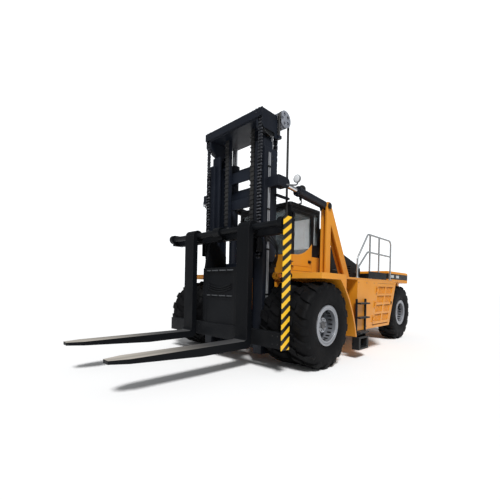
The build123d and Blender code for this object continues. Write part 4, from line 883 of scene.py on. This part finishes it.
chains = Shape()
for _, s in SIDES:
    chain_y = s * (chain_high[1] - chain_w / 2)
    for step in range(int(chain_l / link)):
        here = along_chain(step * link)
        there = along_chain((step + 1) * link)
        ahead = (there - here).normalized()
        out = Vector((ahead.z, 0, -ahead.x))
        outline = []
        for end, centre in ((-1, here), (1, there)):
            for turn in plate_corners:
                angle = math.radians(turn) * end
                reach = ahead * (end * plate_end * math.cos(angle))
                outline.append(centre + reach + out * (plate_half * math.sin(angle) * end))
        for lay in plate_lay:
            shift = lay if step % 2 else lay - plate_stagger
            for hand in (1, -1):
                plate_y = about(chain_y + hand * shift, plate_t / 2)
                chains.loft([[point + Y_AXIS * y for point in outline] for y in plate_y])
        chains.lathe(((-chain_w / 2, pin_r), (chain_w / 2, pin_r)), here + Y_AXIS * chain_y, Y_AXIS, sides=8)
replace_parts(chains.piece("leaf_chains", chain_steel, "inner_mast"), "lift_chains")

plated = painted("plated_pipe", rgb(0.36, 0.37, 0.39), rgb(0.28, 0.29, 0.31), grey(0.1),
                 roughness=0.3, dust=0.02, metallic=0.6)
lamp_glass, place = new_finish("lamp_glass")
ribs_per_metre = 90
rib_relief_and_shade = (place.axis("Y") * ribs_per_metre).wrap()
# The glass goes from lighter to darker grey across each rib: painted highlight and shade of the ribs.
set_finish(lamp_glass, {
    "Base Color": rib_relief_and_shade.blend(rgb(0.7, 0.71, 0.72), rgb(0.56, 0.58, 0.6)),
    "Roughness": 0.1 + rib_relief_and_shade * 0.08,
}, rib_relief_and_shade, depth=0.0006)
mast_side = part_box("outer_mast")[1][1]
pipe_lanes = (front_x + 0.45, front_x + 0.49)
pipe_stand = 0.014
pipe_low = 0.62
pipe_high = 4.2
clip_places = (0.75, 1.35, 2.25, 3.05, 3.9)
clip_x = (front_x + 0.425, front_x + 0.515)
clip_y = (mast_side, mast_side + 0.03)
clip_h = 0.035
block_t = 0.05
block_y = (mast_side, mast_side + block_t)
# Lengthwise and upright spans of the two blocks that the bent pipes join.
blocks = (((front_x + 0.45, front_x + 0.55), (2.42, 2.66)), ((front_x + 0.24, front_x + 0.4), (1.92, 2.02)))
bow_x = front_x + 0.5
bow_root = 0.04
bow_foot = 1.97
bow_steps = 8
bow_r = 0.014
# Height of each bent pipe's upper end, place of its foot, and how far it swings out.
bows = ((2.61, front_x + 0.37, 0.19), (2.54, front_x + 0.32, 0.16), (2.47, front_x + 0.27, 0.13))
mast_bolt_places = (0.3, 1.85, 3.58, 4.1)
mast_bolt_x = front_x + 0.36
mast_bolt_gap = 0.05
lug_x = front_x + 0.25
lug_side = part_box("mast_brackets")[1][1]
arm_z = 3.55
arm_out = 1.43
lamp_z = arm_z + 0.06
arm_run = ((lug_side - 0.02, 0.01), (lug_side + 0.06, -0.01), (arm_out - 0.04, -0.05), (arm_out, -0.03),
           (arm_out, 0.0))
shell_turning = ((-0.055, 0.02), (-0.045, 0.045), (-0.01, 0.072), (0.03, 0.078), (0.036, 0.074))
lamp_lens_turning = ((0.035, 0.068), (0.041, 0.062), (0.045, 0.04))
barrel_x = front_x + 0.06
barrel_y = 0.56
barrel_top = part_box("lift_barrels")[1][2]
gland_ring = 0.098
gland_count = 8
for side, s in SIDES:
    flank = s * mast_side
    bright = Shape()
    for x in pipe_lanes:
        y = s * (mast_side + pipe_stand)
        bright.tube([(x, y, pipe_low), (x, y, pipe_high)], radius=0.012)
    bright.piece(f"mast_lift_pipes_{side}", plated, "mast")
    pipes = Shape()
    for z in clip_places:
        pipes.box(clip_x, clip_y, (z, z + clip_h), s)
    for block_x, block_z in blocks:
        pipes.box(block_x, block_y, block_z, s)
    for top_z, foot_x, swing in bows:
        bow = [(bow_x, flank + s * bow_root, top_z)]
        for step in range(bow_steps + 1):
            share = step / bow_steps
            y = flank + s * (block_t + swing * math.sin(math.pi * share))
            bow.append((bow_x + (foot_x - bow_x) * share, y, top_z - (top_z - bow_foot) * share))
        bow.append((foot_x, flank + s * bow_root, bow_foot))
        pipes.tube(bow, bow_r)
    pipes.piece(f"mast_pipes_{side}", black_enamel, "mast", bevel=0.002)
    face_bolts = Shape()
    for z in mast_bolt_places:
        for bolt_z in about(z, mast_bolt_gap):
            face_bolts.bolt((mast_bolt_x, flank, bolt_z), Y_AXIS * s, radius=0.014, height=0.014)
    face_bolts.piece(f"mast_bolts_{side}", black_enamel, "mast")
    arm = Shape()
    lamp_middle = (lug_x, s * arm_out, lamp_z)
    arm.tube([(lug_x, s * y, arm_z + rise) for y, rise in arm_run], radius=0.016)
    arm.lathe(shell_turning, lamp_middle, X_AXIS, sides=28)
    arm.piece(f"work_lamp_{side}", drum_grey, "mast")
    face_glass = Shape()
    face_glass.lathe(lamp_lens_turning, lamp_middle, X_AXIS, sides=28)
    face_glass.piece(f"work_lamp_lens_{side}", lamp_glass, "mast")
    gland = Shape()
    barrel_head = Vector((barrel_x, s * barrel_y, barrel_top))
    for spot in circle(barrel_head, X_AXIS, Y_AXIS, gland_ring, turns(gland_count)):
        gland.bolt(spot, Z_AXIS, radius=0.009, height=0.012)
    gland.piece(f"gland_bolts_{side}", nut_steel, "mast")
head_front, _, head_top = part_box("inner_mast")[1]
gusset_places = (-0.6, -0.3, 0.3, 0.6)
gusset_foot = 4.882
gusset_half = 0.008
gusset_front = head_front - 0.025
gusset_outline = ((gusset_front, head_top - 0.012), (gusset_front, gusset_foot),
                  (head_front - 0.15, gusset_foot))
head_bolt_places = (-0.8, -0.72, 0.72, 0.8)
head_bolt_heights = (head_top - 0.045, head_top - 0.115)
gussets = Shape()
for y in gusset_places:
    gussets.plate(gusset_outline, about(y, gusset_half))
for y in head_bolt_places:
    for z in head_bolt_heights:
        gussets.bolt((head_front, y, z), X_AXIS, radius=0.012, height=0.012)
gussets.piece("head_gussets", mast_black, "inner_mast", bevel=0.002)
duct_low = 2.85
duct_high = 4.876
duct_x = (front_x + 0.35, front_x + 0.44)
duct_y = (0.335, 0.465)
bracket_places = (4.2, 4.5, 4.8)
bracket_x = (front_x + 0.36, front_x + 0.42)
bracket_y = (0.46, 0.57)
bracket_h = 0.05
hose_x = front_x + 0.448
hose_lanes = (0.365, 0.4, 0.435)
hose_low = duct_low + 0.04
comb_x = (front_x + 0.438, front_x + 0.468)
comb_y = (0.342, 0.458)
comb_count = 20
comb_pitch = 0.1
comb_h = 0.028
for side, s in SIDES:
    duct = Shape()
    duct.box(duct_x, duct_y, (duct_low, duct_high), s)
    for z in bracket_places:
        duct.box(bracket_x, bracket_y, (z, z + bracket_h), s)
    duct.piece(f"hose_duct_{side}", mast_black, "inner_mast", bevel=0.006)
    hoses = Shape()
    for y in hose_lanes:
        hoses.tube([(hose_x, s * y, hose_low), (hose_x, s * y, duct_high)], radius=0.014)
    for step in range(comb_count):
        z = duct_low + comb_pitch + step * comb_pitch
        hoses.box(comb_x, comb_y, (z, z + comb_h), s)
    hoses.piece(f"duct_hoses_{side}", hose_rubber, "inner_mast")

# Carriage and forks: welded black beams, a ground shaft with end caps, forged forks worn bright on top, one
# warning plate with slanted yellow bands, and pipes clipped across the shield.
carriage_black = painted("carriage_black", coal, rgb(0.007, 0.008, 0.01), rgb(0.03, 0.032, 0.036),
                         roughness=0.4, dust=0.03, gleam=0.1)
coat(carriage_black, "carriage", "shaft_seats", "fork_shaft")
fork_finish, place = new_finish("fork_forging")
blade_top = 0.6
tip_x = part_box("fork_left")[1][0]
eased = eased_edges(place, radius=0.01)
upward = place.node("NewGeometry", out="Normal").axis("Z").between(0.75, 0.95)
scrape = place.noise(scale=3.0, detail=6.0, stretch=(0.25, 2.0, 1.0)).between(0.2, 0.7)
tipward = place.axis("X").between(tip_x - 1.9, tip_x - 0.1)
rubbed = upward * (place.axis("Z") < blade_top) * (0.5 + scrape * 0.4)
worn_top = tipward.blend(rgb(0.09, 0.09, 0.092), rgb(0.64, 0.59, 0.52))
edge_rub = (edge_mask(eased) * place.noise(scale=12.0, detail=5.0)).between(0.4, 0.8) * 0.7
set_finish(fork_finish, {
    "Base Color": rubbed.blend(edge_rub.blend(coal, rgb(0.05, 0.05, 0.052)), worn_top),
    "Roughness": 0.45 + scrape * 0.12,
    "Metallic": rubbed * 0.2,
    "Specular IOR Level": 0.1,
}, place.noise(scale=60.0, detail=4.0), depth=0.0015, rounding=eased)
coat(fork_finish, "fork_left", "fork_right")
hazard, place = new_finish("hazard_stripes")
stripes_per_metre = 1 / 0.176
stripe_slope = 0.68
eased = eased_edges(place, radius=0.004)
slant = (place.axis("Z") + place.axis("X") * stripe_slope) * stripes_per_metre
band = slant.wrap() > 0.5
rub = place.noise(scale=9.0, detail=5.0).between(0.55, 0.75)
set_finish(hazard, {
    "Base Color": (rub * 0.15).blend(band.blend(coal, rgb(0.86, 0.5, 0.02)), rusty_iron),
    "Roughness": 0.35 + rub * 0.2,
}, place.noise(scale=200.0, detail=2.0), depth=0.0004, rounding=eased)
coat(hazard, "edge_plates")
shaft_x, _, shaft_z = middle("fork_shaft")
shaft_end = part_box("fork_shaft")[1][1]
shaft_cap_turning = ((0, 0.075), (0.008, 0.075), (0.01, 0.07))
shaft_cap_t = 0.01
shaft_cap_ring = 0.05
shaft_bolt_turns = turns(4, start=math.pi / 4)
caps = Shape()
for _, s in SIDES:
    caps.lathe(shaft_cap_turning, (shaft_x, s * shaft_end, shaft_z), Y_AXIS * s, sides=32)
    cap_face = Vector((shaft_x, s * (shaft_end + shaft_cap_t), shaft_z))
    for spot in circle(cap_face, X_AXIS, Z_AXIS, shaft_cap_ring, shaft_bolt_turns):
        caps.bolt(spot, Y_AXIS * s, radius=0.008, height=0.009)
caps.piece("shaft_caps", black_enamel, "carriage")
beam_face = front_x + 0.998
beam_bolt_places = (0.6, 0.72, 1.5, 1.62)
beam_bolt_heights = (0.52, 0.66)
beam_bolts = Shape()
for _, s in SIDES:
    for y in beam_bolt_places:
        for z in beam_bolt_heights:
            beam_bolts.bolt((beam_face, s * y, z), X_AXIS, radius=0.01, height=0.008)
beam_bolts.piece("beam_bolts", black_enamel, "carriage")
dull_pipe = painted("dull_pipe", rgb(0.11, 0.115, 0.125), rgb(0.08, 0.085, 0.09), grey(0.05),
                    roughness=0.35, dust=0.02, metallic=0.4)
shield_x = front_x + 0.94
shield_root = shield_x - 0.004
shield_pipe_x = shield_x + 0.026
shield_bend_x = shield_pipe_x - 0.006
pipe_ease = 0.014
# Height and half length of the two straight pipes.
shield_runs = ((1.318, 0.38), (1.842, 0.4))
shield_clip_places = (-0.24, 0.0, 0.24)
shield_clip_x = (shield_x - 0.002, shield_x + 0.042)
shield_clip_half = (0.02, 0.018)
slack_x = shield_x + 0.018
slack_heights = (1.4, 1.445, 1.49)
slack_sag = 0.07
slack_half = 6
slack_step = 0.06
shield_pipes = Shape()
clips = Shape()
for z, half in shield_runs:
    run = ((shield_root, -half), (shield_bend_x, -half), (shield_pipe_x, -half + pipe_ease),
           (shield_pipe_x, half - pipe_ease), (shield_bend_x, half), (shield_root, half))
    shield_pipes.tube([(x, y, z) for x, y in run], radius=0.012)
    for y in shield_clip_places:
        clips.box(shield_clip_x, about(y, shield_clip_half[0]), about(z, shield_clip_half[1]))
for z in slack_heights:
    clips.tube([(slack_x, slack_step * step, z + slack_sag * (step / slack_half) ** 2)
                for step in range(-slack_half, slack_half + 1)], radius=0.013)
shield_pipes.piece("shield_pipes", dull_pipe, "carriage")
clips.piece("shield_clips", black_enamel, "carriage", bevel=0.002)

# Tilt cylinders: black drawn barrels that swing on pins in the side frames, with chromed rods to the mast
# lugs. The gland at the front is held by a ring of bolts, and two screwed ports on top take the oil pipes.
coat(mast_black, "tilt_barrel_left", "tilt_barrel_right")
coat(chrome, "tilt_rod_left", "tilt_rod_right")
tilt_y = 1.08
lug_z = 3.6
port_reach = (0.22, 1.06)
port_h = 0.053
port_turning = ((0, 0.03), (0.05, 0.03), (port_h, 0.026))
union_turning = ((0, 0.019), (0.03, 0.019))
barrel_r = 0.085
gland_reach = 1.19
gland_bolts = 8
for side, s in SIDES:
    start = Vector((pivot_x, s * tilt_y, pivot_z))
    ahead = (Vector((lug_x, s * tilt_y, lug_z)) - start).normalized()
    lift = Y_AXIS.cross(ahead)
    ports = Shape()
    for reach in port_reach:
        spot = start + ahead * reach + lift * barrel_r
        ports.lathe(port_turning, spot, lift)
        ports.lathe(union_turning, spot + lift * port_h, lift, sides=6)
    gland_middle = start + ahead * gland_reach
    for spot in circle(gland_middle, Y_AXIS, lift, barrel_r, turns(gland_bolts, math.pi / gland_bolts)):
        ports.bolt(spot, ahead, radius=0.008, height=0.01)
    ports.piece(f"tilt_ports_{side}", black_enamel, f"tilt_barrel_{side}")

# Floor, light and camera: a pale studio floor that runs past the view, one broad soft lamp high on the front
# left and a bright even sky. The camera stands low at the truck's front left, close by and with a wide lens.
floor_reach = 400.0
floor_corners = [(x * floor_reach, y * floor_reach, 0) for x, y in ((-1, -1), (1, -1), (1, 1), (-1, 1))]
floor_mesh = bpy.data.meshes.new("floor")
floor_mesh.from_pydata(floor_corners, [], [(0, 1, 2, 3)])
floor = bpy.data.objects.new("floor", floor_mesh)
bpy.context.scene.collection.objects.link(floor)
floor_finish, place = new_finish("pale_floor")
cloud = place.noise(scale=0.6, detail=2.0)
set_finish(floor_finish, {
    "Base Color": cloud.blend(grey(0.9), grey(0.94)),
    "Roughness": 0.8,
    "Specular IOR Level": 0.1,
})
floor_mesh.materials.append(floor_finish)

sky_light = 0.3
sky_backdrop = 0.95
world = bpy.data.worlds.new("studio")
bpy.context.scene.world = world
world.use_nodes = True
sky = Wire(world.node_tree)
seen = sky.node("LightPath", out="Is Camera Ray")
sky.fill(world.node_tree.nodes["Background"], {
    "Color": rgb(0.96, 0.98, 1.0),
    "Strength": sky_light + seen * sky_backdrop,
})
key_fall = Vector((-0.55, -0.62, -1.0))
key_light = bpy.data.lights.new("key", "SUN")
key_light.energy = 3.5
key_light.angle = math.radians(14)
key = bpy.data.objects.new("key", key_light)
key.rotation_euler = key_fall.to_track_quat("-Z", "Y").to_euler()
bpy.context.scene.collection.objects.link(key)

eye_place = Vector((6.691, 4.995, 1.503))
heading = math.radians(43.96)
pitch = math.radians(-0.299)
roll = math.radians(1.207)
focal_px = 312.68
horizon_px = 288.89
frame_px = 500.0
level = Vector((-math.cos(heading), -math.sin(heading), 0.0))
across = Vector((-math.sin(heading), math.cos(heading), 0.0))
ahead = level * math.cos(pitch) + Z_AXIS * math.sin(pitch)
over = Z_AXIS * math.cos(pitch) - level * math.sin(pitch)
right = across * math.cos(roll) + over * math.sin(roll)
top = over * math.cos(roll) - across * math.sin(roll)
eye = bpy.data.cameras.new("eye")
eye.sensor_width = 36.0
eye.lens = focal_px / frame_px * eye.sensor_width
eye.shift_y = (horizon_px - frame_px / 2) / frame_px
camera = bpy.data.objects.new("eye", eye)
camera.matrix_world = Matrix.Translation(eye_place) @ Matrix((right, top, -ahead)).transposed().to_4x4()
bpy.context.scene.collection.objects.link(camera)
bpy.context.scene.camera = camera
bpy.context.scene.view_settings.view_transform = "Standard"
